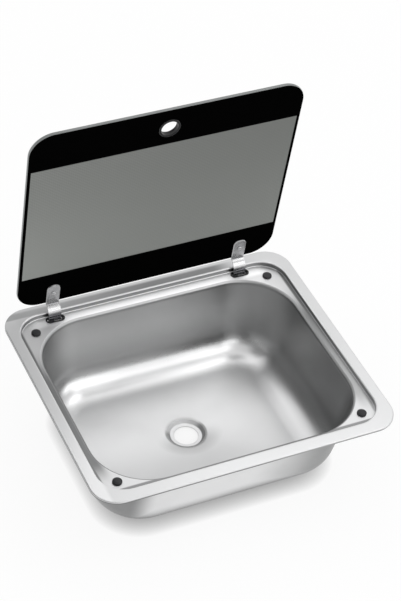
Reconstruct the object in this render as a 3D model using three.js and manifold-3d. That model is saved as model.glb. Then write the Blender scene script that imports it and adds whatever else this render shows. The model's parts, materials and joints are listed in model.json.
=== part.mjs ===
// Drop-in stainless steel sink with a hinged glass lid, in millimetres.
// +X is right, +Y is back towards the hinges, +Z is up. The origin is under the middle of the rim,
// level with the underside of the drain recess. The lid stands open, leaning a little forward.
import * as THREE from 'three';
import { mergeVertices } from 'three/addons/utils/BufferGeometryUtils.js';
import Module from 'manifold-3d';

const wasm = await Module();
wasm.setup();

// ---- Driving dimensions ----

// Clearances
const seatGap = 0.15;            // between two pieces that rest on each other
const runningGap = 0.1;          // round a pin in its hole
const looseGap = 0.3;            // round a piece that sits in a wider hole

// Pressed steel basin
const rimWidth = 420;
const rimDepth = 370;
const sinkHeight = 140;          // underside of the drain recess to the top of the rim
const sheet = 0.8;               // steel thickness
const rimCornerRadius = 36;
const rimTurnDown = 3;           // height of the turned-down outer edge
const rimBend = 1.6;             // outside radius of that edge's bend
const flangeSide = 16;           // flat rim at the left and right
const flangeFrontBack = 19;      // flat rim at the front and back
const recessCornerRadius = 36;
const recessBend = 2;            // rounding of the rim's inner edge
const recessDrop = 7.5;          // rim top to ledge, deep enough for the closed lid
const recessFillet = 1.2;
const ledgeSide = 8;             // ledge width beside the bowl's mouth
const ledgeFront = 5.5;
const ledgeBack = 14;            // wider, because the hinges pass through it
const mouthCornerRadius = 80;
const mouthBend = 4;             // rounding of the bowl's mouth
const leanSide = 12;             // how far each wall leans in from the mouth to the floor
const leanFront = 30;
const leanBack = 2.5;
const bowlFillet = 45;           // between the walls and the floor
const floorFall = 2.2;           // slope of the floor towards the drain
const drainY = 12.5;             // the drain sits a little behind the middle
const drainRecessRadius = 26.5;
const drainRecessDepth = 5;
const drainRecessSlope = 3.5;    // how far the recess's wall leans in
const drainBend = 1.5;
const drainHoleRadius = 17.2;

// Seal under the rim
const sealWidth = 4;
const sealProud = 0.4;           // how far it stands below the turned-down edge

// Rubber bumpers that carry the closed lid
const bumperFromSide = 23;       // bumper's middle to the recess's wall
const bumperFromBack = 25;
const bumperFromFront = 21.5;
const bumperRadius = 6.4;
const bumperStemRadius = 1.9;
const bumperBulbRadius = 2.7;
const bumperBulbDepth = 3;

// Glass lid
const lidSideGap = 6;            // closed lid to the recess's walls
const lidFrontGap = 3.3;
const lidThickness = 5;
const lidCornerRadius = 33;
const lidChamfer = 0.5;
const lidFromPivot = 16;         // back edge of the closed lid to the pivot
const lidSeat = 3.9;             // underside of the closed lid below the rim's top
const lidOpenAngle = 81.8;       // degrees from closed to the open stop
const fingerHoleFromFront = 32;  // middle of the hole to the lid's free edge
const fingerBoreRadius = 11.7;
const fingerNeckWall = 1.1;
const fingerFlangeOver = 1.8;    // how far its flanges cover the glass
const fingerFlange = 1;          // thickness of each flange

// Hinges
const hingeFromSide = 57;        // arm's middle to the recess's wall
const pivotFromBack = 10;        // pivot to the rim's outer edge
const pivotDrop = 3.2;           // pivot axis below the rim's top
const pivotPinRadius = 1.25;
const eyeWall = 0.75;            // steel round the pivot pin
const armWidth = 18;
const armThickness = 1.3;
const armRadius = 15.2;          // bend of the arm about the pivot, through the slot
const armTabLength = 35;         // tab that lies on the glass
const armTabCorner = 7.5;
const armTailAngle = 296.8;      // where the bend ends, with the lid closed
const linkElbowY = 7.8;          // elbow between the bend and the eye, with the lid closed
const linkElbowDrop = 5.2;
const padThickness = 0.6;
const screwFromEdge = 20;        // lid screw to the lid's back edge
const screwRadius = 1.9;
const screwHeadRadius = 3.2;
const screwHeadHeight = 1.7;
const bushWall = 1.5;
const capRadius = 9;
const capThickness = 3;
const capSkin = 1;               // solid top of the cap over the screw's end

// Slot through the ledge and its grommet
const slotHalfLength = 12.7;
const slotFromPivot = 11.2;      // slot's back edge to the pivot
const slotWidth = 10.4;
const grommetWall = 0.9;
const grommetOver = 0.9;         // flange that covers the ledge
const grommetFlange = 0.7;
const grommetLip = 0.5;          // lip that snaps under the ledge
const grommetLipDepth = 1.4;

// Bracket under the ledge
const bracketPlate = 1.2;
const bracketTab = 9;            // length of the feet under the ledge
const bracketDrop = 21.5;        // lowest face below the rim's top
const bracketBackReach = 3.4;    // ear beyond the pivot
const bracketShoulder = 2.8;     // straight back edge of the ear below the pivot
const bracketFootBack = 4;       // back of the bracket's lower web to the pivot
const pinHeadRadius = 2;
const pinHeadHeight = 1;
const clipWidth = 0.8;
const clipWall = 0.65;

// Spring rod in front of the arm
const rodFromPivot = 16.6;       // how far in front of the pivot it lies
const rodDrop = 14.6;
const rodRadius = 1.5;
const rodHeadRadius = 2.4;
const springWire = 1.2;
const springMeanRadius = 2.8;
const springTurns = 6;
const springPitch = 1.75;
const springLeg = 3;

// Roundness
const cornerSteps = 10;
const bendSteps = 3;
const filletSteps = 7;
const domeSteps = 4;
const roundSegments = 24;
const smallSegments = 16;
const springSides = 5;
const springStepsPerTurn = 8;

// ---- Places worked out from the dimensions ----

const rimTop = sinkHeight;
const ledgeZ = rimTop - recessDrop;
const recessX = rimWidth / 2 - flangeSide;
const recessY = rimDepth / 2 - flangeFrontBack;
const mouthX = recessX - ledgeSide;
const mouthFront = -recessY + ledgeFront;
const mouthBack = recessY - ledgeBack;
const drainFloorZ = sheet;
const drainEdgeZ = drainFloorZ + drainRecessDepth;
const floorZ = drainEdgeZ + floorFall;
const wallTopZ = ledgeZ - mouthBend;
const bumperX = recessX - bumperFromSide;
const bumperBackY = recessY - bumperFromBack;
const bumperFrontY = bumperFromFront - recessY;
const hingeX = recessX - hingeFromSide;
const pivotY = rimDepth / 2 - pivotFromBack;
const pivotZ = rimTop - pivotDrop;
const slotBackY = pivotY - slotFromPivot;
const slotFrontY = slotBackY - slotWidth;
const rodY = pivotY - rodFromPivot;
const bracketFootY = pivotY - bracketFootBack;
const lidWidth = 2 * (recessX - lidSideGap);
const lidBack = -lidFromPivot;               // closed lid, measured from the pivot
const lidFront = lidFrontGap - recessY - pivotY;
const lidUnder = pivotDrop - lidSeat;
const padTop = lidUnder - seatGap;
const armTop = padTop - padThickness - seatGap;
const armMiddle = armTop - armThickness / 2;
const screwY = lidBack - screwFromEdge;
const bushBore = screwRadius + runningGap;
const bushRadius = bushBore + bushWall;
const slotY = (slotFrontY + slotBackY) / 2;
const slotHalfWidth = slotWidth / 2;
const eyeRadius = pivotPinRadius + runningGap + eyeWall;
const earInner = slotHalfLength + grommetLip + looseGap + grommetLip;
const earOuter = earInner + bracketPlate;

// ---- Materials ----

const steel = new THREE.MeshStandardMaterial({ color: 0xc4c6c8, metalness: 1, roughness: 0.34 });
const brightSteel = new THREE.MeshStandardMaterial({ color: 0xcfd0d2, metalness: 1, roughness: 0.22 });
const zincSteel = new THREE.MeshStandardMaterial({ color: 0xa9acaf, metalness: 1, roughness: 0.4 });
const rubber = new THREE.MeshStandardMaterial({ color: 0x1c1c1e, metalness: 0, roughness: 0.75 });
const blackPlastic = new THREE.MeshStandardMaterial({ color: 0x121213, metalness: 0, roughness: 0.4 });
const glass = new THREE.MeshStandardMaterial({ color: 0x0b0c0d, metalness: 0, roughness: 0.06 });

// ---- Helpers ----

const degrees = (angle) => THREE.MathUtils.degToRad(angle);

const steps = (count, make) => Array.from({ length: count + 1 }, (_, i) => make(i / count));

function merged(geometry) {
  const bare = geometry.clone();
  bare.deleteAttribute('normal');
  bare.deleteAttribute('uv');
  return mergeVertices(bare, 1e-4);
}

function signedVolume(geometry) {
  const place = geometry.getAttribute('position');
  const index = geometry.getIndex();
  const [a, b, c] = [new THREE.Vector3(), new THREE.Vector3(), new THREE.Vector3()];
  let volume = 0;
  for (let i = 0; i < index.count; i += 3) {
    a.fromBufferAttribute(place, index.getX(i));
    b.fromBufferAttribute(place, index.getX(i + 1));
    c.fromBufferAttribute(place, index.getX(i + 2));
    volume += a.dot(b.cross(c)) / 6;
  }
  return volume;
}

// Turns every face of a closed mesh outwards.
function outward(geometry) {
  const body = merged(geometry);
  if (signedVolume(body) < 0) {
    const index = body.getIndex();
    for (let i = 0; i < index.count; i += 3) {
      const second = index.getX(i + 1);
      index.setX(i + 1, index.getX(i + 2));
      index.setX(i + 2, second);
    }
  }
  return body;
}

function solidOf(geometry) {
  const body = outward(geometry);
  return new wasm.Manifold(new wasm.Mesh({
    numProp: 3,
    vertProperties: new Float32Array(body.getAttribute('position').array),
    triVerts: new Uint32Array(body.getIndex().array),
  }));
}

function geometryOf(solid) {
  const mesh = solid.getMesh();
  const geometry = new THREE.BufferGeometry();
  geometry.setAttribute('position', new THREE.BufferAttribute(mesh.vertProperties, 3));
  geometry.setIndex(new THREE.BufferAttribute(mesh.triVerts, 1));
  return geometry;
}

// Joins the first list of geometries and cuts the second list out of them.
function carve(joined, cuts = []) {
  const body = joined.map(solidOf).reduce((sum, solid) => sum.add(solid));
  return geometryOf(cuts.map(solidOf).reduce((rest, solid) => rest.subtract(solid), body));
}

function piece(group, name, geometry, material) {
  const smooth = outward(geometry).toNonIndexed();
  smooth.computeVertexNormals();
  const mesh = new THREE.Mesh(smooth, material);
  mesh.name = name;
  group.add(mesh);
  return mesh;
}

// Closed rounded rectangle at one height, counter-clockwise from the right side.
function roundedRing(halfX, front, back, radius, z) {
  const round = Math.max(radius, 0.5);
  const corners = [
    [halfX - round, back - round],
    [-halfX + round, back - round],
    [-halfX + round, front + round],
    [halfX - round, front + round],
  ];
  return corners.flatMap(([x, y], quarter) => steps(cornerSteps, (share) => {
    const angle = (quarter + share) * Math.PI / 2;
    return new THREE.Vector3(x + round * Math.cos(angle), y + round * Math.sin(angle), z);
  }));
}

// Circle with as many points as a rounded ring, so that the two can be joined.
function circleRing(radius, y, z) {
  const count = 4 * (cornerSteps + 1);
  return Array.from({ length: count }, (_, i) => {
    const angle = (i + 0.5) * 2 * Math.PI / count;
    return new THREE.Vector3(radius * Math.cos(angle), y + radius * Math.sin(angle), z);
  });
}

// Skins a closed loop of closed rings.
function loftLoop(rings) {
  const count = rings[0].length;
  const index = [];
  rings.forEach((ring, row) => {
    const next = (row + 1) % rings.length;
    for (let i = 0; i < count; i += 1) {
      const j = (i + 1) % count;
      const [a, b, c, d] = [row * count + i, row * count + j, next * count + j, next * count + i];
      index.push(a, b, c, a, c, d);
    }
  });
  const geometry = new THREE.BufferGeometry().setFromPoints(rings.flat());
  geometry.setIndex(index);
  return geometry;
}

// Points of an arc about a centre, from one angle to another, in quarter turns.
function arc(x, y, radius, from, to, count) {
  return steps(count, (share) => {
    const angle = (from + (to - from) * share) * Math.PI / 2;
    return new THREE.Vector2(x + radius * Math.cos(angle), y + radius * Math.sin(angle));
  });
}

function obround(halfLength, halfWidth) {
  const straight = halfLength - halfWidth;
  return new THREE.Shape([
    ...arc(straight, 0, halfWidth, -1, 1, smallSegments / 2),
    ...arc(-straight, 0, halfWidth, 1, 3, smallSegments / 2),
  ]);
}

// Upright prism of a plan outline between two heights.
function prism(shape, low, high) {
  const geometry = new THREE.ExtrudeGeometry(shape, { depth: high - low, bevelEnabled: false });
  return geometry.translate(0, 0, low);
}

// Plate whose outline is drawn in the Y-Z plane, between two places along X.
function sidePlate(shape, left, right) {
  const geometry = new THREE.ExtrudeGeometry(shape, { depth: right - left, bevelEnabled: false });
  const [x, y, z] = [new THREE.Vector3(1, 0, 0), new THREE.Vector3(0, 1, 0), new THREE.Vector3(0, 0, 1)];
  geometry.translate(0, 0, left);
  return geometry.applyMatrix4(new THREE.Matrix4().makeBasis(y, z, x));
}

// Turned body on the Z axis, from [radius, height] pairs.
function turned(profile, segments = smallSegments) {
  return new THREE.LatheGeometry(profile.map(([r, h]) => new THREE.Vector2(r, h)), segments)
    .rotateX(Math.PI / 2);
}

// Turned body on an X axis through y and z, from [radius, x] pairs.
function turnedAlongX(profile, y, z) {
  return turned(profile).rotateY(Math.PI / 2).translate(0, y, z);
}

const rodProfile = (radius, low, high) => [[0, low], [radius, low], [radius, high], [0, high]];

const sleeveProfile = (inner, outer, low, high) => (
  [[inner, low], [outer, low], [outer, high], [inner, high], [inner, low]]
);

// ---- Basin ----

// Each maker below gives one ring of the sheet: depth 0 is its upper face and depth `sheet` its
// lower face. `inset` runs inwards, and [inward, up] is the upper face's direction there.
const rimRing = (inset, z, [inward, up]) => (depth) => {
  const shift = inset - inward * depth;
  const halfY = rimDepth / 2 - shift;
  return roundedRing(rimWidth / 2 - shift, -halfY, halfY, rimCornerRadius - shift, z - up * depth);
};

const recessRing = (inset, z, [inward, up]) => (depth) => {
  const shift = inset - inward * depth;
  const halfY = recessY - shift;
  return roundedRing(recessX - shift, -halfY, halfY, recessCornerRadius - shift, z - up * depth);
};

const mouthRing = (inset, z, [inward, up]) => (depth) => {
  const shift = inset - inward * depth;
  const radius = mouthCornerRadius - shift;
  return roundedRing(mouthX - shift, mouthFront + shift, mouthBack - shift, radius, z - up * depth);
};

// How far a wall that leans in by `lean` stands inside the mouth at a height, with its fillet.
function wallInset(lean, z, depth) {
  const height = wallTopZ - floorZ;
  const tilt = Math.atan2(lean, height);
  const centreZ = floorZ + bowlFillet;
  const alongWall = (level) => lean * (wallTopZ - level) / height;
  const centre = alongWall(centreZ) + bowlFillet / Math.cos(tilt);
  const radius = bowlFillet + depth;
  if (z > centreZ - radius * Math.sin(tilt)) {
    return alongWall(z) - depth / Math.cos(tilt);
  }
  return centre - Math.sqrt(Math.max(radius ** 2 - (z - centreZ) ** 2, 0));
}

function bowlOutline(z, depth) {
  const side = mouthBend + wallInset(leanSide, z, depth);
  const front = mouthFront + mouthBend + wallInset(leanFront, z, depth);
  const back = mouthBack - mouthBend - wallInset(leanBack, z, depth);
  return roundedRing(mouthX - side, front, back, mouthCornerRadius - side, z);
}

const wallRing = (z) => (depth) => bowlOutline(z, depth);

const filletRing = (angle) => (depth) => (
  bowlOutline(floorZ + bowlFillet - (bowlFillet + depth) * Math.sin(angle), depth)
);

const drainRing = (inset, z, [inward, up]) => (depth) => (
  circleRing(drainRecessRadius - (inset - inward * depth), drainY, z - up * depth)
);

// Bend whose upper face is outside: the face turns from one direction to the other.
function outsideBend(ring, inset, z, radius, from, to) {
  return steps(bendSteps, (share) => {
    const angle = degrees(from + (to - from) * share);
    const face = [Math.cos(angle), Math.sin(angle)];
    return ring(inset + radius * face[0], z + radius * face[1], face);
  });
}

// Bend whose upper face is inside.
function insideBend(ring, inset, z, radius, from, to) {
  return steps(bendSteps, (share) => {
    const angle = degrees(from + (to - from) * share);
    const face = [Math.cos(angle), Math.sin(angle)];
    return ring(inset - radius * face[0], z - radius * face[1], face);
  });
}

function basinSheet() {
  const drainWall = degrees(90) - Math.atan2(drainRecessDepth, drainRecessSlope);
  const wallFace = THREE.MathUtils.radToDeg(drainWall);
  const makers = [
    rimRing(0, rimTop - rimTurnDown, [-1, 0]),
    ...outsideBend(rimRing, rimBend, rimTop - rimBend, rimBend, 180, 90),
    ...outsideBend(recessRing, -recessBend, rimTop - recessBend, recessBend, 90, 0),
    ...insideBend(recessRing, recessFillet, ledgeZ + recessFillet, recessFillet, 0, 90),
    ...outsideBend(mouthRing, 0, ledgeZ - mouthBend, mouthBend, 90, 0),
    wallRing((wallTopZ + floorZ + bowlFillet) / 2),
    ...steps(filletSteps, (share) => filletRing(share * Math.PI / 2)),
    ...outsideBend(drainRing, 0, drainEdgeZ - drainBend, drainBend, 90, wallFace),
    ...insideBend(drainRing, drainBend + drainRecessSlope, drainFloorZ + drainBend, drainBend, wallFace, 90),
    drainRing(drainRecessRadius - drainHoleRadius, drainFloorZ, [0, 1]),
  ];
  const upper = makers.map((ring) => ring(0));
  const lower = makers.map((ring) => ring(sheet)).reverse();
  return loftLoop([...upper, ...lower]);
}

const bumperPlaces = [
  ['bumper_back_left', -bumperX, bumperBackY],
  ['bumper_back_right', bumperX, bumperBackY],
  ['bumper_front_left', -bumperX, bumperFrontY],
  ['bumper_front_right', bumperX, bumperFrontY],
];

const hingePlaces = [['left', -hingeX], ['right', hingeX]];

function basinGeometry() {
  const under = ledgeZ - 2 * sheet;
  const over = ledgeZ + sheet;
  const slots = hingePlaces.map(([, x]) => (
    prism(obround(slotHalfLength, slotHalfWidth), under, over).translate(x, slotY, 0)
  ));
  const stemHole = rodProfile(bumperStemRadius + looseGap, under, over);
  const stemHoles = bumperPlaces.map(([, x, y]) => turned(stemHole).translate(x, y, 0));
  return carve([basinSheet()], [...slots, ...stemHoles]);
}

// ---- Seal and bumpers ----

function sealGeometry() {
  const outer = Math.max(rimBend, sheet) + seatGap;
  const inner = outer + sealWidth;
  const top = rimTop - sheet - seatGap;
  const bottom = rimTop - rimTurnDown - sealProud;
  const ring = (inset, z) => {
    const halfY = rimDepth / 2 - inset;
    return roundedRing(rimWidth / 2 - inset, -halfY, halfY, rimCornerRadius - inset, z);
  };
  return loftLoop([ring(outer, top), ring(inner, top), ring(inner, bottom), ring(outer, bottom)]);
}

function bumperGeometry() {
  const height = recessDrop - lidSeat - looseGap;
  const skirt = height / 2;
  const under = -sheet - seatGap;
  const dome = steps(domeSteps, (share) => {
    const angle = share * Math.PI / 2;
    return [bumperRadius * Math.cos(angle), skirt + (height - skirt) * Math.sin(angle)];
  });
  dome[dome.length - 1][0] = 0;
  return turned([
    [0, under - bumperBulbDepth],
    [bumperStemRadius * 0.7, under - bumperBulbDepth],
    [bumperBulbRadius, under - bumperBulbDepth / 3],
    [bumperBulbRadius, under],
    [bumperStemRadius, under],
    [bumperStemRadius, seatGap],
    [bumperRadius, seatGap],
    ...dome,
  ], roundSegments);
}

// ---- Lid, drawn closed and measured from the pivot ----

function lidOutline() {
  const [left, right] = [-lidWidth / 2, lidWidth / 2];
  const [back, front] = [lidBack, lidFront];
  const r = lidCornerRadius;
  return new THREE.Shape([
    ...arc(right - r, back - r, r, 0, 1, cornerSteps),
    ...arc(left + r, back - r, r, 1, 2, cornerSteps),
    ...arc(left + r, front + r, r, 2, 3, cornerSteps),
    ...arc(right - r, front + r, r, 3, 4, cornerSteps),
  ]);
}

const fingerY = lidFront + fingerHoleFromFront;
const fingerNeckRadius = fingerBoreRadius + fingerNeckWall;

function roundHole(x, y, radius, segments = smallSegments) {
  return new THREE.Path(arc(x, y, radius, 4, 0, segments).slice(1));
}

function glassGeometry() {
  const shape = lidOutline();
  shape.holes.push(roundHole(0, fingerY, fingerNeckRadius + seatGap, roundSegments));
  hingePlaces.forEach(([, x]) => {
    shape.holes.push(roundHole(x, screwY, bushRadius + seatGap));
  });
  const geometry = new THREE.ExtrudeGeometry(shape, {
    depth: lidThickness - 2 * lidChamfer,
    bevelThickness: lidChamfer,
    bevelSize: lidChamfer,
    bevelOffset: -lidChamfer,
    bevelSegments: 1,
  });
  return geometry.translate(0, 0, lidUnder + lidChamfer);
}

function fingerRingGeometry() {
  const low = lidUnder - seatGap;
  const high = lidUnder + lidThickness + seatGap;
  const wide = fingerNeckRadius + fingerFlangeOver;
  const edge = fingerFlange * 0.4;
  return turned([
    [fingerBoreRadius, low - fingerFlange + edge],
    [fingerBoreRadius + edge, low - fingerFlange],
    [wide - edge, low - fingerFlange],
    [wide, low - fingerFlange + edge],
    [wide, low],
    [fingerNeckRadius, low],
    [fingerNeckRadius, high],
    [wide, high],
    [wide, high + fingerFlange - edge],
    [wide - edge, high + fingerFlange],
    [fingerBoreRadius + edge, high + fingerFlange],
    [fingerBoreRadius, high + fingerFlange - edge],
    [fingerBoreRadius, low - fingerFlange + edge],
  ], roundSegments).translate(0, fingerY, 0);
}

// Plan outline of the tab and of its pad: square at the lid's back edge, round at the free end.
function tabOutline(back) {
  const half = armWidth / 2;
  const front = lidBack - armTabLength;
  const r = Math.min(armTabCorner, half);
  return new THREE.Shape([
    new THREE.Vector2(half, back),
    new THREE.Vector2(-half, back),
    ...arc(-half + r, front + r, r, 2, 3, domeSteps),
    ...arc(half - r, front + r, r, 3, 4, domeSteps),
  ]);
}

// Middle line of the arm, drawn in the Y-Z plane from the tab's free end to the eye.
function armLine() {
  const path = new THREE.Path();
  const startAngle = Math.PI + Math.asin(-armMiddle / armRadius) + 1.6 * armThickness / armRadius;
  const tail = degrees(armTailAngle);
  const onBend = (angle) => [armRadius * Math.cos(angle), armRadius * Math.sin(angle)];
  const tailPoint = onBend(tail);
  const toElbow = 0.35;
  const elbow = [linkElbowY, -linkElbowDrop];
  const between = (a, b, share) => [a[0] + (b[0] - a[0]) * share, a[1] + (b[1] - a[1]) * share];
  path.moveTo(lidBack - armTabLength, armMiddle);
  path.lineTo(-armRadius - 1.6 * armThickness, armMiddle);
  path.quadraticCurveTo(-armRadius + 0.1, armMiddle, ...onBend(startAngle));
  path.absarc(0, 0, armRadius, startAngle, tail - 0.16);
  path.quadraticCurveTo(...tailPoint, ...between(tailPoint, elbow, toElbow));
  path.lineTo(...between(tailPoint, elbow, 1 - toElbow));
  path.quadraticCurveTo(...elbow, ...between(elbow, [0, 0], toElbow));
  path.lineTo(...between([0, 0], elbow, 0.15));
  const points = path.getPoints(7);
  return points.filter((point, i) => i === 0 || point.distanceTo(points[i - 1]) > 0.05);
}

// Band of even thickness along a line of points.
function bandShape(points, thickness) {
  const normals = points.map((_, i) => {
    const before = points[Math.max(i - 1, 0)];
    const after = points[Math.min(i + 1, points.length - 1)];
    const along = after.clone().sub(before).normalize();
    return new THREE.Vector2(-along.y, along.x).multiplyScalar(thickness / 2);
  });
  const left = points.map((point, i) => point.clone().add(normals[i]));
  const right = points.map((point, i) => point.clone().sub(normals[i])).reverse();
  return new THREE.Shape([...left, ...right]);
}

function armGeometry(x) {
  const half = armWidth / 2;
  const band = sidePlate(bandShape(armLine(), armThickness), -half, half);
  const eye = turnedAlongX(rodProfile(eyeRadius, -half, half), 0, 0);
  const pinHole = turnedAlongX(rodProfile(pivotPinRadius + runningGap, -armWidth, armWidth), 0, 0);
  const screwHole = turned(rodProfile(screwRadius + looseGap, armTop - 2 * armThickness, armTop + armThickness))
    .translate(0, screwY, 0);
  const reach = lidBack + 2 * armTabLength;
  const plan = prism(tabOutline(reach), -3 * armRadius, armRadius);
  const body = solidOf(band).add(solidOf(eye)).intersect(solidOf(plan));
  const holed = body.subtract(solidOf(pinHole)).subtract(solidOf(screwHole));
  return geometryOf(holed).translate(x, 0, 0);
}

function padGeometry(x) {
  const shape = tabOutline(lidBack);
  shape.holes.push(roundHole(0, screwY, screwRadius + looseGap));
  return prism(shape, padTop - padThickness, padTop).translate(x, 0, 0);
}

function screwGeometry(x) {
  const seat = armTop - armThickness - seatGap;
  const end = lidUnder + lidThickness + seatGap + capThickness - capSkin - seatGap;
  const dome = steps(domeSteps, (share) => {
    const angle = share * Math.PI / 2;
    return [screwHeadRadius * Math.sin(angle), seat - screwHeadHeight * (0.3 + 0.7 * Math.cos(angle))];
  });
  dome[0][0] = 0;
  return turned([
    ...dome,
    [screwHeadRadius, seat],
    [screwRadius, seat],
    [screwRadius, end],
    [0, end],
  ]).translate(x, screwY, 0);
}

function bushGeometry(x) {
  const low = lidUnder + seatGap;
  const high = lidUnder + lidThickness - seatGap;
  return turned(sleeveProfile(bushBore, bushRadius, low, high)).translate(x, screwY, 0);
}

function capGeometry(x) {
  const low = lidUnder + lidThickness + seatGap;
  const edge = capThickness * 0.35;
  return turned([
    [0, low + capThickness - capSkin],
    [bushBore, low + capThickness - capSkin],
    [bushBore, low],
    [capRadius, low],
    [capRadius, low + capThickness - edge],
    [capRadius - edge, low + capThickness],
    [0, low + capThickness],
  ]).translate(x, screwY, 0);
}

// ---- Hinge pieces that stay on the basin ----

function grommetGeometry(x) {
  const neckLength = slotHalfLength - looseGap;
  const neckWidth = slotHalfWidth - looseGap;
  const underside = ledgeZ - sheet - seatGap;
  const flangeLow = ledgeZ + seatGap;
  const flangeHigh = flangeLow + grommetFlange;
  const plan = (extra, low, high) => prism(obround(neckLength + extra, neckWidth + extra), low, high);
  const flangeOver = looseGap + grommetOver;
  const chamfer = grommetFlange / 2;
  const joined = [
    plan(flangeOver, flangeLow, flangeHigh - chamfer),
    plan(flangeOver - chamfer, flangeLow, flangeHigh),
    plan(0, underside - grommetLipDepth, flangeHigh),
    plan(looseGap + grommetLip, underside - grommetLipDepth, underside),
  ];
  const bore = plan(-grommetWall, underside - 2 * grommetLipDepth, flangeHigh + grommetFlange);
  return carve(joined, [bore]).translate(x, slotY, 0);
}

function earShape() {
  const top = rimTop - sheet - looseGap;
  const under = ledgeZ - sheet - looseGap;
  const behindStep = recessY + sheet + looseGap;
  const back = pivotY + bracketBackReach;
  const bottom = rimTop - bracketDrop;
  const clearBend = recessBend - sheet;
  return new THREE.Shape([
    new THREE.Vector2(slotFrontY, under),
    new THREE.Vector2(behindStep, under),
    new THREE.Vector2(behindStep, top - clearBend),
    new THREE.Vector2(behindStep + clearBend, top),
    new THREE.Vector2(back, top),
    new THREE.Vector2(back, pivotZ - bracketShoulder),
    new THREE.Vector2(bracketFootY, bottom),
    new THREE.Vector2(slotFrontY, bottom),
  ]);
}

function rectangle(left, right, low, high) {
  return new THREE.Shape([
    new THREE.Vector2(left, low),
    new THREE.Vector2(right, low),
    new THREE.Vector2(right, high),
    new THREE.Vector2(left, high),
  ]);
}

function bracketGeometry(x) {
  const under = ledgeZ - sheet - looseGap;
  const bottom = rimTop - bracketDrop;
  const foot = rectangle(slotFrontY, slotBackY, under - bracketPlate, under);
  const web = rectangle(slotFrontY, bracketFootY, bottom, bottom + bracketPlate);
  const joined = [
    sidePlate(earShape(), -earOuter, -earInner),
    sidePlate(earShape(), earInner, earOuter),
    sidePlate(foot, -earInner - bracketTab, -earInner),
    sidePlate(foot, earInner, earInner + bracketTab),
    sidePlate(web, -earOuter, earOuter),
  ];
  const through = earOuter + bracketPlate;
  const cuts = [
    turnedAlongX(rodProfile(pivotPinRadius + runningGap, -through, through), pivotY, pivotZ),
    turnedAlongX(rodProfile(rodRadius + runningGap, -through, through), rodY, rimTop - rodDrop),
  ];
  return carve(joined, cuts).translate(x, 0, 0);
}

function pinGeometry(x) {
  const head = -earOuter - seatGap;
  const end = earOuter + seatGap + clipWidth + seatGap + pinHeadHeight / 2;
  return turnedAlongX([
    [0, head - pinHeadHeight],
    [pinHeadRadius, head - pinHeadHeight],
    [pinHeadRadius, head],
    [pivotPinRadius, head],
    [pivotPinRadius, end],
    [0, end],
  ], pivotY, pivotZ).translate(x, 0, 0);
}

function clipGeometry(x) {
  const low = earOuter + seatGap;
  const inner = pivotPinRadius + runningGap;
  return turnedAlongX(sleeveProfile(inner, inner + clipWall, low, low + clipWidth), pivotY, pivotZ)
    .translate(x, 0, 0);
}

function rodGeometry(x) {
  const head = earOuter + seatGap;
  return turnedAlongX([
    [0, -head - pinHeadHeight],
    [rodHeadRadius, -head - pinHeadHeight],
    [rodHeadRadius, -head],
    [rodRadius, -head],
    [rodRadius, head],
    [rodHeadRadius, head],
    [rodHeadRadius, head + pinHeadHeight],
    [0, head + pinHeadHeight],
  ], rodY, rimTop - rodDrop).translate(x, 0, 0);
}

// Coil round the rod with a short straight leg past each end.
class SpringCurve extends THREE.Curve {
  getPoint(share, target = new THREE.Vector3()) {
    const coil = springTurns * 2 * Math.PI * springMeanRadius;
    const along = share * (coil + 2 * springLeg) - springLeg;
    const turn = THREE.MathUtils.clamp(along / coil, 0, 1) * springTurns;
    const angle = turn * 2 * Math.PI;
    const past = along < 0 ? along : Math.max(along - coil, 0);
    const y = springMeanRadius * Math.cos(angle) - past * Math.sin(angle);
    const z = springMeanRadius * Math.sin(angle) + past * Math.cos(angle);
    return target.set(turn * springPitch, y, z);
  }
}

function springGeometry(x) {
  const curve = new SpringCurve();
  const section = new THREE.Shape(Array.from({ length: springSides }, (_, i) => {
    const angle = i * 2 * Math.PI / springSides;
    return new THREE.Vector2(Math.cos(angle), Math.sin(angle)).multiplyScalar(springWire / 2);
  }));
  const geometry = new THREE.ExtrudeGeometry(section, {
    steps: springTurns * springStepsPerTurn + 4, bevelEnabled: false, extrudePath: curve,
  });
  return geometry.translate(x, rodY, rimTop - rodDrop);
}

// Least distance between two turns of the spring's wire, face to face.
function springLeastGap() {
  const points = new SpringCurve().getPoints(springTurns * 24);
  let least = Infinity;
  points.forEach((a, i) => points.slice(i + 14).forEach((b) => {
    least = Math.min(least, a.distanceTo(b));
  }));
  return least - springWire;
}

console.log(`Spring's least gap to itself: ${springLeastGap().toFixed(2)} mm`);

// ---- Assembly ----

const sink = new THREE.Group();
piece(sink, 'basin', basinGeometry(), steel);
piece(sink, 'rim_seal', sealGeometry(), rubber);
bumperPlaces.forEach(([name, x, y]) => {
  piece(sink, name, bumperGeometry(), rubber).position.set(x, y, ledgeZ);
});

const lid = new THREE.Group();
lid.position.set(0, pivotY, pivotZ);
lid.rotation.x = -degrees(lidOpenAngle);
sink.add(lid);
piece(lid, 'lid_glass', glassGeometry(), glass);
piece(lid, 'finger_ring', fingerRingGeometry(), blackPlastic);

hingePlaces.forEach(([side, x]) => {
  piece(lid, `hinge_arm_${side}`, armGeometry(x), brightSteel);
  piece(lid, `hinge_pad_${side}`, padGeometry(x), rubber);
  piece(lid, `lid_screw_${side}`, screwGeometry(x), brightSteel);
  piece(lid, `lid_bush_${side}`, bushGeometry(x), blackPlastic);
  piece(lid, `lid_cap_${side}`, capGeometry(x), brightSteel);
  piece(sink, `slot_grommet_${side}`, grommetGeometry(x), blackPlastic);
  piece(sink, `hinge_bracket_${side}`, bracketGeometry(x), zincSteel);
  piece(sink, `pivot_pin_${side}`, pinGeometry(x), brightSteel);
  piece(sink, `pin_clip_${side}`, clipGeometry(x), zincSteel);
  piece(sink, `spring_rod_${side}`, rodGeometry(x), zincSteel);
  piece(sink, `hinge_spring_${side}`, springGeometry(x), brightSteel);
});

export default sink;
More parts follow.
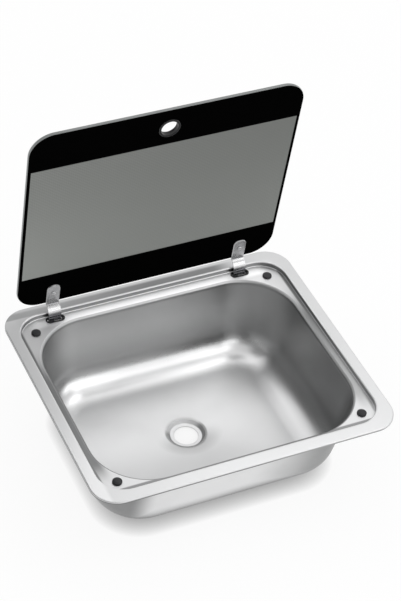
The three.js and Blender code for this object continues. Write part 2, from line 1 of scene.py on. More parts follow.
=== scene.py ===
"""Looks of a drop-in steel sink with a hinged glass lid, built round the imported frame.

Lengths are in millimetres until mesh_object() turns them into Blender's metres. +X is right, +Y is
back towards the hinges and +Z is up. The lid's pieces are drawn closed, measured from the pivot, and
lid_open() puts them where they are at rest.
"""

import json
import math

import bmesh
import bpy
import numpy as np
from mathutils import Matrix, Vector


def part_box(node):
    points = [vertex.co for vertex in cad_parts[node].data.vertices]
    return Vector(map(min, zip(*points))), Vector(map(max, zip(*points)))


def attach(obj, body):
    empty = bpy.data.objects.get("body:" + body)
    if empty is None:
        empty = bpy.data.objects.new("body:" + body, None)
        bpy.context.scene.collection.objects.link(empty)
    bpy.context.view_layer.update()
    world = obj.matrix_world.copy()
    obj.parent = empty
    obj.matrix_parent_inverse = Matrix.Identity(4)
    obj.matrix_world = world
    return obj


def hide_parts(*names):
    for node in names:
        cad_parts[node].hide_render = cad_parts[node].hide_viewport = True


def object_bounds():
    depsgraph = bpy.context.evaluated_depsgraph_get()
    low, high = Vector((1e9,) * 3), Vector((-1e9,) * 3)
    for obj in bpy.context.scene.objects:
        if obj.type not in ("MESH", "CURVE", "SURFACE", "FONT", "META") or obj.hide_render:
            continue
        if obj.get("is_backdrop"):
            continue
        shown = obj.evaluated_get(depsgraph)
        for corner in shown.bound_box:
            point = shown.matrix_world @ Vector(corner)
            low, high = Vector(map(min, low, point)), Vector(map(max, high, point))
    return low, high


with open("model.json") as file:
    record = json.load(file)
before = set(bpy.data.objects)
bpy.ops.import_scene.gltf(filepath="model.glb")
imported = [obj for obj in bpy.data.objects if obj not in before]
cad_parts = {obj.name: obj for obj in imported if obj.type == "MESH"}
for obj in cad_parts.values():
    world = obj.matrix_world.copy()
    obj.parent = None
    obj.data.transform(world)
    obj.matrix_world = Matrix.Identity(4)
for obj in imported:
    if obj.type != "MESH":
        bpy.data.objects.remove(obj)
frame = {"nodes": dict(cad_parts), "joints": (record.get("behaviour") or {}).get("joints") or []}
cad_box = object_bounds()

MM = 0.001
SIDES = ("left", "right")
CORNERS = ("back_left", "back_right", "front_left", "front_right")

# ---- Sizes, in millimetres ----

SEAT_GAP = 0.15
RUNNING_GAP = 0.1
LOOSE_GAP = 0.3

SHEET = 0.8
RIM_CORNER = 36
RIM_TURN_DOWN = 3
RIM_BEND = 1.6
FLANGE_SIDE = 16
FLANGE_FRONT_BACK = 19
RECESS_CORNER = 36
RECESS_BEND = 2
RECESS_DROP = 7.5
RECESS_FILLET = 1.2
LEDGE_SIDE = 8
LEDGE_FRONT = 5.5
LEDGE_BACK = 14
MOUTH_CORNER = 80
MOUTH_BEND = 4
LEAN_SIDE = 12
LEAN_FRONT = 30
LEAN_BACK = 2.5
BOWL_FILLET = 45
FLOOR_FALL = 2.2
DRAIN_Y = 12.5
DRAIN_RADIUS = 26.5
DRAIN_DEPTH = 5
DRAIN_SLOPE = 3.5
DRAIN_BEND = 1.5
DRAIN_HOLE = 17.2

SEAL_WIDTH = 4
SEAL_PROUD = 0.4

BUMPER_RADIUS = 6.4
BUMPER_STEM = 1.9
BUMPER_BULB = 2.7
BUMPER_BULB_DEPTH = 3

LID_CORNER = 33
LID_EDGE_ROUND = 1.1             # how far the ground edge curves in at each face
FINGER_FROM_FRONT = 32
FINGER_BORE = 11.7
FINGER_NECK_WALL = 1.1
FINGER_FLANGE_OVER = 1.8
FINGER_FLANGE = 1

PIN_RADIUS = 1.25
EYE_WALL = 0.75
ARM_WIDTH = 18
ARM_THICKNESS = 1.3
ARM_RADIUS = 15.2
ARM_TAB = 35
ARM_TAB_CORNER = 7.5
ARM_TAIL_ANGLE = 296.8
ELBOW_Y = 7.8
ELBOW_DROP = 5.2
PAD_THICKNESS = 0.6
SCREW_FROM_EDGE = 20
SCREW_RADIUS = 1.9
SCREW_HEAD = 3.2
SCREW_HEAD_HEIGHT = 1.7
CROSS_REACH = 0.52 * SCREW_HEAD
CROSS_HALF_WIDTH = 0.42
CROSS_DEPTH = 1.0
BUSH_WALL = 1.5
CAP_RADIUS = 9
CAP_THICKNESS = 3
CAP_SKIN = 1

SLOT_HALF_LENGTH = 12.7
SLOT_WIDTH = 10.4
GROMMET_WALL = 0.9
GROMMET_OVER = 0.9
GROMMET_FLANGE = 0.7
GROMMET_LIP = 0.5
GROMMET_LIP_DEPTH = 1.4

BRACKET_PLATE = 1.2
BRACKET_TAB = 9
BRACKET_DROP = 21.5
BRACKET_REACH = 3.4
BRACKET_SHOULDER = 2.8
BRACKET_FOOT_BACK = 4            # back of the lower web to the pivot
PIN_HEAD = 2
PIN_HEAD_HEIGHT = 1
CLIP_WIDTH = 0.8
CLIP_WALL = 0.65
ROD_RADIUS = 1.5
ROD_HEAD = 2.4
SPRING_WIRE = 1.2
SPRING_RADIUS = 2.8
SPRING_TURNS = 6
SPRING_PITCH = 1.75
SPRING_LEG = 3

WINDOW_HALF_WIDTH = 183.15       # grey field printed on the glass
WINDOW_FROM_HINGE = 57.8
WINDOW_TO = 261.65

# Roundness
CORNER_STEPS = 20
STRAIGHT_STEPS = 20
TURN_SEGMENTS = 48
ROUND_END_STEPS = 16
SOFT_STEPS = 4
SOFT_SHARE = 0.48                # most of a side that one rounded corner takes up
SPRING_STEPS = 28                # along one turn of the wire
WIRE_SIDES = 12
SHARP_ANGLE = 35                 # edges that turn by more degrees stay sharp
BEVEL_ANGLE = 40
DOWNWARD = -0.3                  # a face whose normal's Z is lower belongs to the underside
FLAT = 0.6                       # a lid face whose normal's Z is higher, up or down, is printed
MERGE_DISTANCE = 1e-7            # in metres


# ---- Places read from the frame ----

def span(node):
    """Lowest and highest corner of a CAD node at rest."""
    low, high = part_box(node)
    return np.array(low) / MM, np.array(high) / MM


def middle(node):
    low, high = span(node)
    return (low + high) / 2


joint = frame["joints"][0]
PIVOT_Y = joint["pos_m"][1] / MM
PIVOT_Z = joint["pos_m"][2] / MM
OPEN_ANGLE = math.radians(joint["range_deg"][1])


def closed_span(node):
    """Lowest and highest corner of a lid node with the lid closed, measured from the pivot."""
    points = np.array([v.co for v in frame["nodes"][node].data.vertices]) / MM
    y, z = points[:, 1] - PIVOT_Y, points[:, 2] - PIVOT_Z
    c, s = math.cos(OPEN_ANGLE), math.sin(OPEN_ANGLE)
    closed = np.column_stack([points[:, 0], y * c - z * s, y * s + z * c])
    return closed.min(0), closed.max(0)


_, rim_high = span("basin")
RIM_X, RIM_Y, RIM_TOP = rim_high
LEDGE_Z = RIM_TOP - RECESS_DROP
RECESS_X = RIM_X - FLANGE_SIDE
RECESS_Y = RIM_Y - FLANGE_FRONT_BACK
MOUTH_X = RECESS_X - LEDGE_SIDE
MOUTH_FRONT = LEDGE_FRONT - RECESS_Y
MOUTH_BACK = RECESS_Y - LEDGE_BACK
DRAIN_FLOOR_Z = SHEET
DRAIN_EDGE_Z = DRAIN_FLOOR_Z + DRAIN_DEPTH
FLOOR_Z = DRAIN_EDGE_Z + FLOOR_FALL
WALL_TOP_Z = LEDGE_Z - MOUTH_BEND

lid_low, lid_high = closed_span("lid_glass")
LID_X = lid_high[0]
LID_FRONT, LID_BACK = lid_low[1], lid_high[1]
LID_UNDER, LID_TOP = lid_low[2], lid_high[2]
FINGER_Y = LID_FRONT + FINGER_FROM_FRONT
SCREW_Y = LID_BACK - SCREW_FROM_EDGE
HINGE_X = {side: middle(f"hinge_arm_{side}")[0] for side in SIDES}
SLOT_Y = middle("slot_grommet_left")[1]
ROD_Y, ROD_Z = middle("spring_rod_left")[1:]
PAD_TOP = LID_UNDER - SEAT_GAP
ARM_TOP = PAD_TOP - PAD_THICKNESS - SEAT_GAP
ARM_MIDDLE = ARM_TOP - ARM_THICKNESS / 2
BUSH_BORE = SCREW_RADIUS + RUNNING_GAP
BUSH_RADIUS = BUSH_BORE + BUSH_WALL
EAR_INNER = SLOT_HALF_LENGTH + GROMMET_LIP + LOOSE_GAP + GROMMET_LIP
EAR_OUTER = EAR_INNER + BRACKET_PLATE


def lid_open(points):
    """Points of the closed lid, measured from the pivot, at their place at rest."""
    points = np.asarray(points, float)
    c, s = math.cos(OPEN_ANGLE), math.sin(OPEN_ANGLE)
    y, z = points[:, 1], points[:, 2]
    return np.column_stack([points[:, 0], PIVOT_Y + y * c + z * s, PIVOT_Z - y * s + z * c])


# ---- Materials ----

class Value:
    """A number, place or colour that varies over a surface. For numbers, | takes the larger of two."""

    def __init__(self, tree, socket):
        self.tree = tree
        self.socket = socket

    def math(self, operation, other=0.0):
        made = self.tree.node("ShaderNodeMath", {0: self, 1: other}, operation=operation)
        return Value(self.tree, made.outputs[0])

    def __mul__(self, other):
        return self.math("MULTIPLY", other)

    def __add__(self, other):
        return self.math("ADD", other)

    def __sub__(self, other):
        return self.math("SUBTRACT", other)

    def __or__(self, other):
        return self.math("MAXIMUM", other)

    def __abs__(self):
        return self.math("ABSOLUTE")

    def remap(self, low, high, to_low=0, to_high=1, way="LINEAR"):
        limits = {"From Min": low, "From Max": high, "To Min": to_low, "To Max": to_high}
        made = self.tree.node("ShaderNodeMapRange", {"Value": self, **limits}, interpolation_type=way)
        return Value(self.tree, made.outputs["Result"])

    def rise(self, low, high):
        """Grows softly from 0 to 1 between two places in millimetres."""
        return self.remap(low * MM, high * MM, 0, 1, "SMOOTHSTEP")

    def fall(self, low, high):
        return self.remap(low * MM, high * MM, 1, 0, "SMOOTHSTEP")


class Tree:
    """A node tree, and a short way to add nodes to it."""

    def __init__(self, node_tree):
        self.nodes = node_tree.nodes
        self.links = node_tree.links

    def node(self, kind, inputs=None, **settings):
        """A new node, whose inputs take a Value, a colour or a number."""
        made = self.nodes.new(kind)
        for key, value in settings.items():
            setattr(made, key, value)
        for key, value in (inputs or {}).items():
            socket = made.inputs[key]
            if isinstance(value, Value):
                self.links.new(value.socket, socket)
            else:
                socket.default_value = (*value, 1) if socket.type == "RGBA" else value
        return made


# Sockets of the Mix node that hold colours
MIX_FIRST = 6
MIX_SECOND = 7
MIX_RESULT = 2


class Shader(Tree):
    """A material with a Principled shader."""

    def __init__(self, name, colour, roughness, metallic=0.0, specular=0.5):
        self.material = bpy.data.materials.new(name)
        self.material.use_nodes = True
        self.material.diffuse_color = (*colour, 1)
        super().__init__(self.material.node_tree)
        self.principled = self.nodes["Principled BSDF"]
        self.principled.inputs["Base Color"].default_value = (*colour, 1)
        self.principled.inputs["Roughness"].default_value = roughness
        self.principled.inputs["Metallic"].default_value = metallic
        self.principled.inputs["Specular IOR Level"].default_value = specular

    def use(self, name, value):
        self.links.new(value.socket, self.principled.inputs[name])

    def blend(self, share, first, second):
        """Ends the material in a mix of two shader nodes."""
        mixed = self.node("ShaderNodeMixShader", {0: share})
        self.links.new(first.outputs[0], mixed.inputs[1])
        self.links.new(second.outputs[0], mixed.inputs[2])
        self.links.new(mixed.outputs[0], self.nodes["Material Output"].inputs["Surface"])

    def place(self, scale=(1, 1, 1), rotation=(0, 0, 0), location=(0, 0, 0)):
        """The piece's own coordinates in metres, turned, moved and scaled."""
        own = Value(self, self.node("ShaderNodeTexCoord").outputs["Object"])
        change = {"Scale": scale, "Rotation": rotation, "Location": location}
        return Value(self, self.node("ShaderNodeMapping", {"Vector": own, **change}).outputs["Vector"])

    def axes(self, place=None):
        """X, Y and Z of a place or, without one, of the piece's own coordinates."""
        split = self.node("ShaderNodeSeparateXYZ", {"Vector": place or self.place()})
        return [Value(self, socket) for socket in split.outputs]

    def noise(self, scale, detail, roughness=0.5, place=None):
        inputs = {"Vector": place or self.place(), "Scale": scale, "Detail": detail, "Roughness": roughness}
        return Value(self, self.node("ShaderNodeTexNoise", inputs).outputs["Fac"])

    def mix(self, share, first, second):
        """Blends two colours by a Value."""
        made = self.node("ShaderNodeMix", data_type="RGBA")
        for key, value in ((0, share), (MIX_FIRST, first), (MIX_SECOND, second)):
            if isinstance(value, Value):
                self.links.new(value.socket, made.inputs[key])
            else:
                made.inputs[key].default_value = (*value, 1)
        return Value(self, made.outputs[MIX_RESULT])

    def raise_surface(self, height, distance):
        """Bump of a height in millimetres."""
        made = self.node("ShaderNodeBump", {"Strength": 1.0, "Distance": distance * MM, "Height": height})
        self.use("Normal", Value(self, made.outputs["Normal"]))

    def brushed(self, stretch, depth):
        """Fine raised grain, stretched along an axis."""
        grain = self.noise(1400, 2, place=self.place(scale=stretch))
        self.raise_surface(grain, depth)
        return grain


def times(colour, factor):
    return tuple(channel * factor for channel in colour)


GRAIN_DEPTH = 0.001


def steel(name, colour, roughness, spread=0.05, mottle=0.04, metallic=1.0):
    """Steel with a fine grain, uneven polish and soft mottling."""
    shader = Shader(name, colour, roughness, metallic=metallic)
    grain = shader.noise(900, 2)
    polish = shader.noise(22, 4, 0.6)
    shine = polish.remap(0.3, 0.7, roughness - spread, roughness + spread)
    shader.use("Roughness", shine + grain.remap(0.3, 0.7, -spread / 2, spread / 2))
    shader.use("Base Color", shader.mix(polish.remap(0.35, 0.65), times(colour, 1 - mottle), colour))
    shader.raise_surface(grain, GRAIN_DEPTH)
    return shader.material


# Sheet colours: a plain satin tone, a lighter copy for painted light and two darker copies for painted
# shade.
PAINTED_LIGHT_SHEET = (0.88, 0.882, 0.886)
BRIGHT_SHEET = (0.64, 0.642, 0.646)
PAINTED_WALL_SHADE = (0.45, 0.453, 0.453)
PAINTED_DEEP_SHADE = (0.19, 0.192, 0.193)
POLISHED_ROUGHNESS = 0.4
DRAWN_ROUGHNESS = 0.38
ROLLED_GRAIN = (0.08, 1, 1)
ROLLED_DEPTH = 0.0008


class SheetPlaces:
    """Where a spot of the sheet's upper face lies, and its share, from 0 to 1, in the sheet's forms."""

    def __init__(self, shader):
        self.x, self.y, self.z = x, y, z = shader.axes()
        self.aside = abs(x)
        self.from_centre = abs(y)
        flat = {0: shader.place(scale=(1, 1, 0)), 1: (0, DRAIN_Y * MM, 0)}
        from_drain = shader.node("ShaderNodeVectorMath", flat, operation="DISTANCE")
        self.radius = Value(shader, from_drain.outputs["Value"])
        self.on_floor = z.fall(FLOOR_Z, FLOOR_Z + 0.3 * BOWL_FILLET)
        self.wall = z.rise(FLOOR_Z, FLOOR_Z + 0.9 * BOWL_FILLET) * z.fall(WALL_TOP_Z - MOUTH_BEND, LEDGE_Z)
        self.on_ledge = z.rise(WALL_TOP_Z, LEDGE_Z) * z.fall(LEDGE_Z, LEDGE_Z + RECESS_FILLET)
        self.under_rim = z.fall(RIM_TOP - RECESS_BEND, RIM_TOP - RECESS_BEND / 2)
        self.step = z.rise(LEDGE_Z, LEDGE_Z + RECESS_FILLET) * self.under_rim
        self.on_rim = z.rise(RIM_TOP - 0.4, RIM_TOP - 0.1)
        drain_wall = DRAIN_RADIUS - DRAIN_BEND - DRAIN_SLOPE
        inwards = self.radius.fall(DRAIN_RADIUS + 1, DRAIN_RADIUS + 4)
        self.drain_side = self.radius.rise(drain_wall - 0.5, drain_wall + 1) * inwards


def painted_recess_shade(at):
    """Painted shade on the recess's step and on the strips of ledge at its foot, less so at the front
    right.
    """
    beside_mouth = at.aside.rise(MOUTH_X - 16, MOUTH_X - 3) * at.y.rise(-145, -105) * at.y.fall(45, 115)
    foot = at.aside.rise(RECESS_X - 7, RECESS_X - 4)
    strips = (beside_mouth | foot) * at.z.rise(WALL_TOP_Z, LEDGE_Z) * at.under_rim
    front_right = at.x.rise(0, 60) * at.y.fall(-120, 90)
    return (at.step | strips) * front_right.remap(0, 1, 0.95, 0.5)


def painted_mouth_shade(at):
    """Painted shade on the bend into the bowl, and a painted dark line of the front ledge along it."""
    bend_share = at.z.rise(WALL_TOP_Z - MOUTH_BEND, WALL_TOP_Z) * at.z.fall(LEDGE_Z - 0.2, LEDGE_Z - 0.005)
    line_height = at.z.rise(WALL_TOP_Z, LEDGE_Z - 0.5) * at.z.fall(LEDGE_Z + 0.2, LEDGE_Z + 0.6)
    behind_lip = at.y.rise(MOUTH_FRONT - 1.8, MOUTH_FRONT - 0.6)
    line = line_height * behind_lip * at.y.fall(MOUTH_FRONT + 3, MOUTH_FRONT + 5)
    weaker_behind = at.y.remap(60 * MM, 130 * MM, 0.85, 0.5)
    return bend_share * weaker_behind | line * 0.85


def painted_rim_shade(at):
    """Painted shade along the turned-down edge, and a band of painted shade on the back flange along the
    recess, where the open lid darkens it.
    """
    outermost = at.aside.rise(RIM_X - 1.5, RIM_X - 0.5) | at.from_centre.rise(RIM_Y - 1.5, RIM_Y - 0.5)
    edge = outermost * at.z.fall(RIM_TOP - 1.2, RIM_TOP - 0.5)
    back_band = at.on_rim * at.y.rise(RECESS_Y, RECESS_Y + 3) * at.y.fall(RECESS_Y + 10, RECESS_Y + 16)
    weaker_left = at.x.remap(-160 * MM, 0, 0.5, 0.9)
    return edge * 0.6 | back_band * at.x.fall(100, 140) * weaker_left


def painted_drain_shade(at):
    """Painted shade on the drain's front side and on the floor round it."""
    front_side = at.drain_side * at.y.fall(DRAIN_Y + 4, DRAIN_Y + 16)
    outside = at.radius.rise(DRAIN_RADIUS - 3, DRAIN_RADIUS)
    around = outside * at.radius.fall(DRAIN_RADIUS + 2, DRAIN_RADIUS + 30)
    return front_side * 0.5 | around * at.y.fall(DRAIN_Y - 25, DRAIN_Y + 10) * 0.4


def painted_bowl_shade(at):
    """Painted shade on the floor's front left, the foot of the back wall and the right wall's front."""
    front_left = at.on_floor * at.y.fall(-60, 30) * at.x.fall(0, 90)
    back_foot = at.wall * at.y.rise(100, 130) * at.z.rise(35, 50) * at.z.fall(50, 100)
    right_front = at.wall * at.x.rise(120, 160) * at.y.fall(-60, 70)
    return front_left * 0.25 | back_foot * 0.4 | right_front * 0.8


def painted_light_places(at):
    """Painted light on the back ledge, the floor's back, the drain's back, the fillet's ends and the left
    flange.
    """
    back_ledge = at.on_ledge * at.y.rise(MOUTH_BACK - 8, MOUTH_BACK)
    mouth_width = at.aside.fall(MOUTH_X - 24, MOUTH_X - 6)
    back_floor = at.on_floor * at.y.rise(-60, 60) * at.x.remap(0, 80 * MM, 0.72, 1) * at.x.fall(110, 160)
    drain_back = at.drain_side * at.y.rise(DRAIN_Y + 3, DRAIN_Y + 12)
    fillet_ends = at.aside.rise(20, 95) * at.y.rise(90, 110) * at.z.fall(25, 50) * 0.75
    left_flange = at.on_rim * at.x.fall(-RECESS_X, 6 - RECESS_X) * at.y.remap(-150 * MM, 40 * MM, 0.5, 0.1)
    inside_drain = at.radius.fall(DRAIN_RADIUS - 1, DRAIN_RADIUS)
    drain_and_ledge = inside_drain * drain_back | back_ledge * mouth_width
    return drain_and_ledge | back_floor | fillet_ends | left_flange


def pressed_steel():
    """Upper face of the sheet: satin rim and floor, with painted shade on the walls, steps and bends and
    painted light in places.
    """
    shader = Shader("satin_steel_pressed", BRIGHT_SHEET, POLISHED_ROUGHNESS, metallic=1.0)
    at = SheetPlaces(shader)
    # Painted shade: the bowl's walls take a darker copy of the sheet's colour, with a little random spread.
    drawn = at.wall + shader.noise(18, 3).remap(0.3, 0.7, -0.05, 0.05)
    # Painted shade: the recess, the mouth's bend, the rim's edge, the drain and parts of the bowl take the
    # darkest colour.
    deepest_shade = painted_recess_shade(at) | painted_mouth_shade(at) | painted_rim_shade(at) | painted_drain_shade(at) | painted_bowl_shade(at)
    # Painted light: the back ledge, the floor's back, the drain's back, the fillet's ends and the left
    # flange take the lightest colour.
    lighter = shader.mix(painted_light_places(at), BRIGHT_SHEET, PAINTED_LIGHT_SHEET)
    shader.use("Base Color", shader.mix(deepest_shade, shader.mix(drawn, lighter, PAINTED_WALL_SHADE), PAINTED_DEEP_SHADE))
    lower_fillet = at.z.rise(FLOOR_Z, FLOOR_Z + 0.1 * BOWL_FILLET)
    burnished = lower_fillet * at.z.fall(FLOOR_Z + 0.5 * BOWL_FILLET, FLOOR_Z + BOWL_FILLET)
    satin = (at.wall | at.step).remap(0, 1, POLISHED_ROUGHNESS, DRAWN_ROUGHNESS)
    fine = shader.brushed(ROLLED_GRAIN, ROLLED_DEPTH).remap(0.3, 0.7, -0.02, 0.02)
    shader.use("Roughness", satin + at.drain_side * 0.3 + burnished * -0.1 + fine)
    return shader.material


OUTSIDE_SHEET = (0.77, 0.772, 0.775)
PAINTED_OUTSIDE_SHADE = (0.15, 0.152, 0.153)


def rolled_steel():
    """Under face of the sheet: as rolled, with painted shade round the lower bend and at the front's two
    ends.
    """
    shader = Shader("satin_steel_outside", OUTSIDE_SHEET, 0.32, metallic=1.0)
    x, y, z = shader.axes()
    lower = z.fall(FLOOR_Z + 0.2 * BOWL_FILLET, FLOOR_Z + 1.05 * BOWL_FILLET)
    front_ends = (x.rise(10, 160) * 0.95 | x.fall(-145, -112) * 0.85) * y.fall(-60, 20)
    # Painted shade: darker round the lower bend and at the front's two ends, with a little random spread.
    outside_shade = (lower | front_ends) + shader.noise(14, 3).remap(0.3, 0.7, -0.06, 0.06)
    shader.use("Base Color", shader.mix(outside_shade, OUTSIDE_SHEET, PAINTED_OUTSIDE_SHADE))
    shader.use("Roughness", shader.brushed(ROLLED_GRAIN, ROLLED_DEPTH).remap(0.3, 0.7, 0.29, 0.35))
    return shader.material


TAB_STEEL = (0.34, 0.34, 0.345)
PAINTED_BEND_HIGHLIGHT = (0.58, 0.58, 0.585)
PAINTED_TAIL_SHADE = (0.16, 0.16, 0.172)
STRIP_GRAIN = (1, 0.06, 0.06)


def arm_finish():
    """Formed strip: a dull tab, a painted dark line in the crease at the glass edge, a painted highlight on
    the bend and painted shade on the tail.
    """
    glass_foot = lid_open([(0, LID_BACK, ARM_MIDDLE)])[0, 2]
    shader = Shader("bright_steel_arm", PAINTED_BEND_HIGHLIGHT, 0.24, metallic=1.0)
    height = shader.axes()[2]
    # Painted shade: the tail that goes down into the slot is darker.
    tail = height.fall(RIM_TOP - 1, RIM_TOP + 4)
    tab = height.rise(glass_foot - 0.5, glass_foot + 0.5)
    # Painted shade: a dark line along the crease at the glass edge.
    crease = abs(height - glass_foot * MM).fall(0.3, 1.1) * 0.75
    # Painted highlight: the bend is lighter than the tab, with random patches where they meet.
    tab_share_patches = tab + shader.noise(160, 3).remap(0.35, 0.65, -0.18, 0.05)
    formed = shader.mix(tab_share_patches, PAINTED_BEND_HIGHLIGHT, TAB_STEEL)
    shader.use("Base Color", shader.mix(tail | crease, formed, PAINTED_TAIL_SHADE))
    shader.use("Roughness", shader.brushed(STRIP_GRAIN, GRAIN_DEPTH).remap(0.3, 0.7, 0.21, 0.29))
    return shader.material


MOULDED_GRAIN = 0.35             # size of the eroded grain


def moulded(name, colour, roughness, depth=0.02, specular=0.5):
    """Moulded rubber or plastic with a fine eroded grain and faint rubbed patches."""
    shader = Shader(name, colour, roughness, specular=specular)
    rubbed = shader.noise(120, 3)
    shader.use("Roughness", rubbed.remap(0.3, 0.7, roughness - 0.08, roughness + 0.08))
    shader.use("Base Color", shader.mix(rubbed.remap(0.4, 0.7), colour, times(colour, 1.35)))
    shader.raise_surface(shader.noise(1 / (MOULDED_GRAIN * MM), 2), depth)
    return shader.material


BLACK_PRINT = (0.0012, 0.0012, 0.0012)
GREY_PRINT = (0.232, 0.24, 0.229)
PRINT_PITCH = 2.9                # lines of the dot screen in the grey field
PRINT_EDGE = 0.2


def printed_face(name, roughness, specular):
    """Black ceramic print with a field of fine grey dots, drawn on the closed lid, and a painted reflection
    of the basin on that field.
    """
    shader = Shader(name, BLACK_PRINT, roughness, specular=specular)
    shift = Matrix.Rotation(OPEN_ANGLE, 3, "X") @ Vector((0, -PIVOT_Y * MM, -PIVOT_Z * MM))
    x, along, _ = shader.axes(shader.place(rotation=(OPEN_ANGLE, 0, 0), location=tuple(shift)))
    side = WINDOW_HALF_WIDTH * MM
    back, front = (LID_BACK - WINDOW_FROM_HINGE) * MM, (LID_BACK - WINDOW_TO) * MM
    soft = PRINT_EDGE * MM
    field = abs(x).remap(side + soft, side - soft) * along.remap(back + soft, back - soft)
    field = field * along.remap(front - soft, front + soft)
    turns = 2 * math.pi / (PRINT_PITCH * MM)
    dots = (along * turns).math("SINE") * 0.8 + (x * turns).math("SINE") * 0.2
    pale, dark = times(GREY_PRINT, 1.24), times(GREY_PRINT, 0.78)
    screen = shader.mix(dots.remap(-1, 1), dark, pale)
    clouded = shader.mix(shader.noise(6, 2).remap(0.3, 0.8, 0, 0.25), screen, pale)
    # Painted reflection of the basin: the grey field is lighter towards the hinge end and the left, darker
    # towards the free end and the right.
    reflection_lighter = x.remap(-side, side, 1, 0.35) * along.remap(front, back, 0, 1, "SMOOTHSTEP")
    reflection_darker = x.remap(-side, side, 0.2, 1) * along.remap(front, back, 1, 0)
    reflection_lit = shader.mix(reflection_lighter, clouded, times(GREY_PRINT, 1.4))
    reflection_painted = shader.mix(reflection_darker, reflection_lit, times(GREY_PRINT, 0.8))
    shader.use("Base Color", shader.mix(field, BLACK_PRINT, reflection_painted))
    shader.use("Roughness", shader.noise(14, 4).remap(0.35, 0.75, roughness, roughness + 0.06))
    return shader.material


def ground_edge():
    """Finely ground edge of the toughened glass."""
    shader = Shader("ground_glass_edge", (0.2, 0.21, 0.208), 0.35)
    frost = shader.noise(2500, 2)
    shader.use("Base Color", shader.mix(shader.noise(60, 2), (0.18, 0.19, 0.187), (0.23, 0.24, 0.238)))
    shader.use("Roughness", frost.remap(0.3, 0.7, 0.28, 0.45))
    shader.raise_surface(frost, 0.01)
    return shader.material


basin_steel = pressed_steel()
outside_steel = rolled_steel()
arm_steel = arm_finish()
cap_steel = steel("bright_steel_turned", (0.68, 0.68, 0.69), 0.24)
zinc_steel = steel("black_zinc_steel", (0.05, 0.05, 0.054), 0.42, spread=0.08, mottle=0.12)
spring_steel = steel("spring_wire_steel", (0.9, 0.9, 0.91), 0.25, metallic=0.4)
seal_rubber = moulded("seal_rubber_foam", (0.018, 0.018, 0.019), 0.8, depth=0.05)
bumper_rubber = moulded("bumper_rubber_moulded", (0.014, 0.014, 0.016), 0.5, depth=0.015, specular=0.35)
black_plastic = moulded("black_plastic_moulded", (0.009, 0.009, 0.01), 0.38, specular=0.3)
glass_outside = printed_face("printed_glass_outside", 0.04, 0.5)
glass_inside = printed_face("printed_glass_inside", 0.35, 0.0)
glass_edge = ground_edge()


# ---- Mesh helpers ----

def mesh_object(name, points, faces):
    """An object from points in millimetres, with its faces turned outwards."""
    mesh = bpy.data.meshes.new(name)
    mesh.from_pydata((np.asarray(points, float) * MM).tolist(), [], faces)
    work = bmesh.new()
    work.from_mesh(mesh)
    bmesh.ops.remove_doubles(work, verts=work.verts, dist=MERGE_DISTANCE)
    bmesh.ops.recalc_face_normals(work, faces=work.faces)
    work.to_mesh(mesh)
    work.free()
    made = bpy.data.objects.new(name, mesh)
    bpy.context.scene.collection.objects.link(made)
    return made


def combine(body, operation, *tools):
    """Applies a Boolean with each tool, and deletes the tools."""
    for tool in tools:
        change = body.modifiers.new(operation, "BOOLEAN")
        change.operation = operation
        change.solver = "EXACT"
        change.object = tool
    bpy.context.view_layer.update()
    evaluated = body.evaluated_get(bpy.context.evaluated_depsgraph_get())
    mesh = bpy.data.meshes.new_from_object(evaluated)
    body.modifiers.clear()
    body.data = mesh
    for tool in tools:
        bpy.data.objects.remove(tool)


def move_points(body, change):
    """Runs all of a mesh's points, in millimetres, through a function."""
    points = np.array([v.co for v in body.data.vertices]) / MM
    body.data.vertices.foreach_set("co", (change(points) * MM).astype(np.float32).ravel())
    body.data.update()
    return body


def coat(body, *materials):
    body.data.materials.clear()
    for material in materials:
        body.data.materials.append(material)


def dress(body, material, rides, slot, *nodes, bevel=0.0):
    """Finish, shading, edge rounding, body and CAD nodes of one piece. The slot is not used."""
    if material:
        coat(body, material)
    body.data.polygons.foreach_set("use_smooth", [True] * len(body.data.polygons))
    body.data.set_sharp_from_angle(angle=math.radians(SHARP_ANGLE))
    if bevel:
        rounding = body.modifiers.new("edges", "BEVEL")
        rounding.width = bevel * MM
        rounding.segments = 2
        rounding.limit_method = "ANGLE"
        rounding.angle_limit = math.radians(BEVEL_ANGLE)
    weighting = body.modifiers.new("normals", "WEIGHTED_NORMAL")
    weighting.keep_sharp = True
    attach(body, rides)
    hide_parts(*nodes)


def skin(rings, closed=True):
    """Points and quads between rings of equally many points."""
    count = len(rings[0])
    faces = []
    for row in range(len(rings) if closed else len(rings) - 1):
        here, there = row * count, (row + 1) % len(rings) * count
        for i in range(count):
            j = (i + 1) % count
            faces.append((here + i, here + j, there + j, there + i))
    return np.vstack(rings), faces


def arc(x, y, radius, start, end, count):
    """Points of an arc between two angles in degrees."""
    angles = np.radians(np.linspace(start, end, count + 1))
    return np.column_stack([x + radius * np.cos(angles), y + radius * np.sin(angles)])


def rounded_ring(half_x, front, back, radius, z, straight=STRAIGHT_STEPS, steps=CORNER_STEPS):
    """Rounded rectangle at one height, counter-clockwise from the right side."""
    radius = max(radius, 0.5)
    corners = [
        arc(half_x - radius, back - radius, radius, 0, 90, steps),
        arc(radius - half_x, back - radius, radius, 90, 180, steps),
        arc(radius - half_x, front + radius, radius, 180, 270, steps),
        arc(half_x - radius, front + radius, radius, 270, 360, steps),
    ]
    parts = []
    for corner, following in zip(corners, corners[1:] + corners[:1]):
        shares = np.linspace(0, 1, straight + 1)[1:-1, None]
        parts += [corner, corner[-1] + (following[0] - corner[-1]) * shares]
    plan = np.vstack(parts)
    return np.column_stack([plan, np.full(len(plan), z)])


def box(left, right, low, high):
    return [(left, low), (right, low), (right, high), (left, high)]


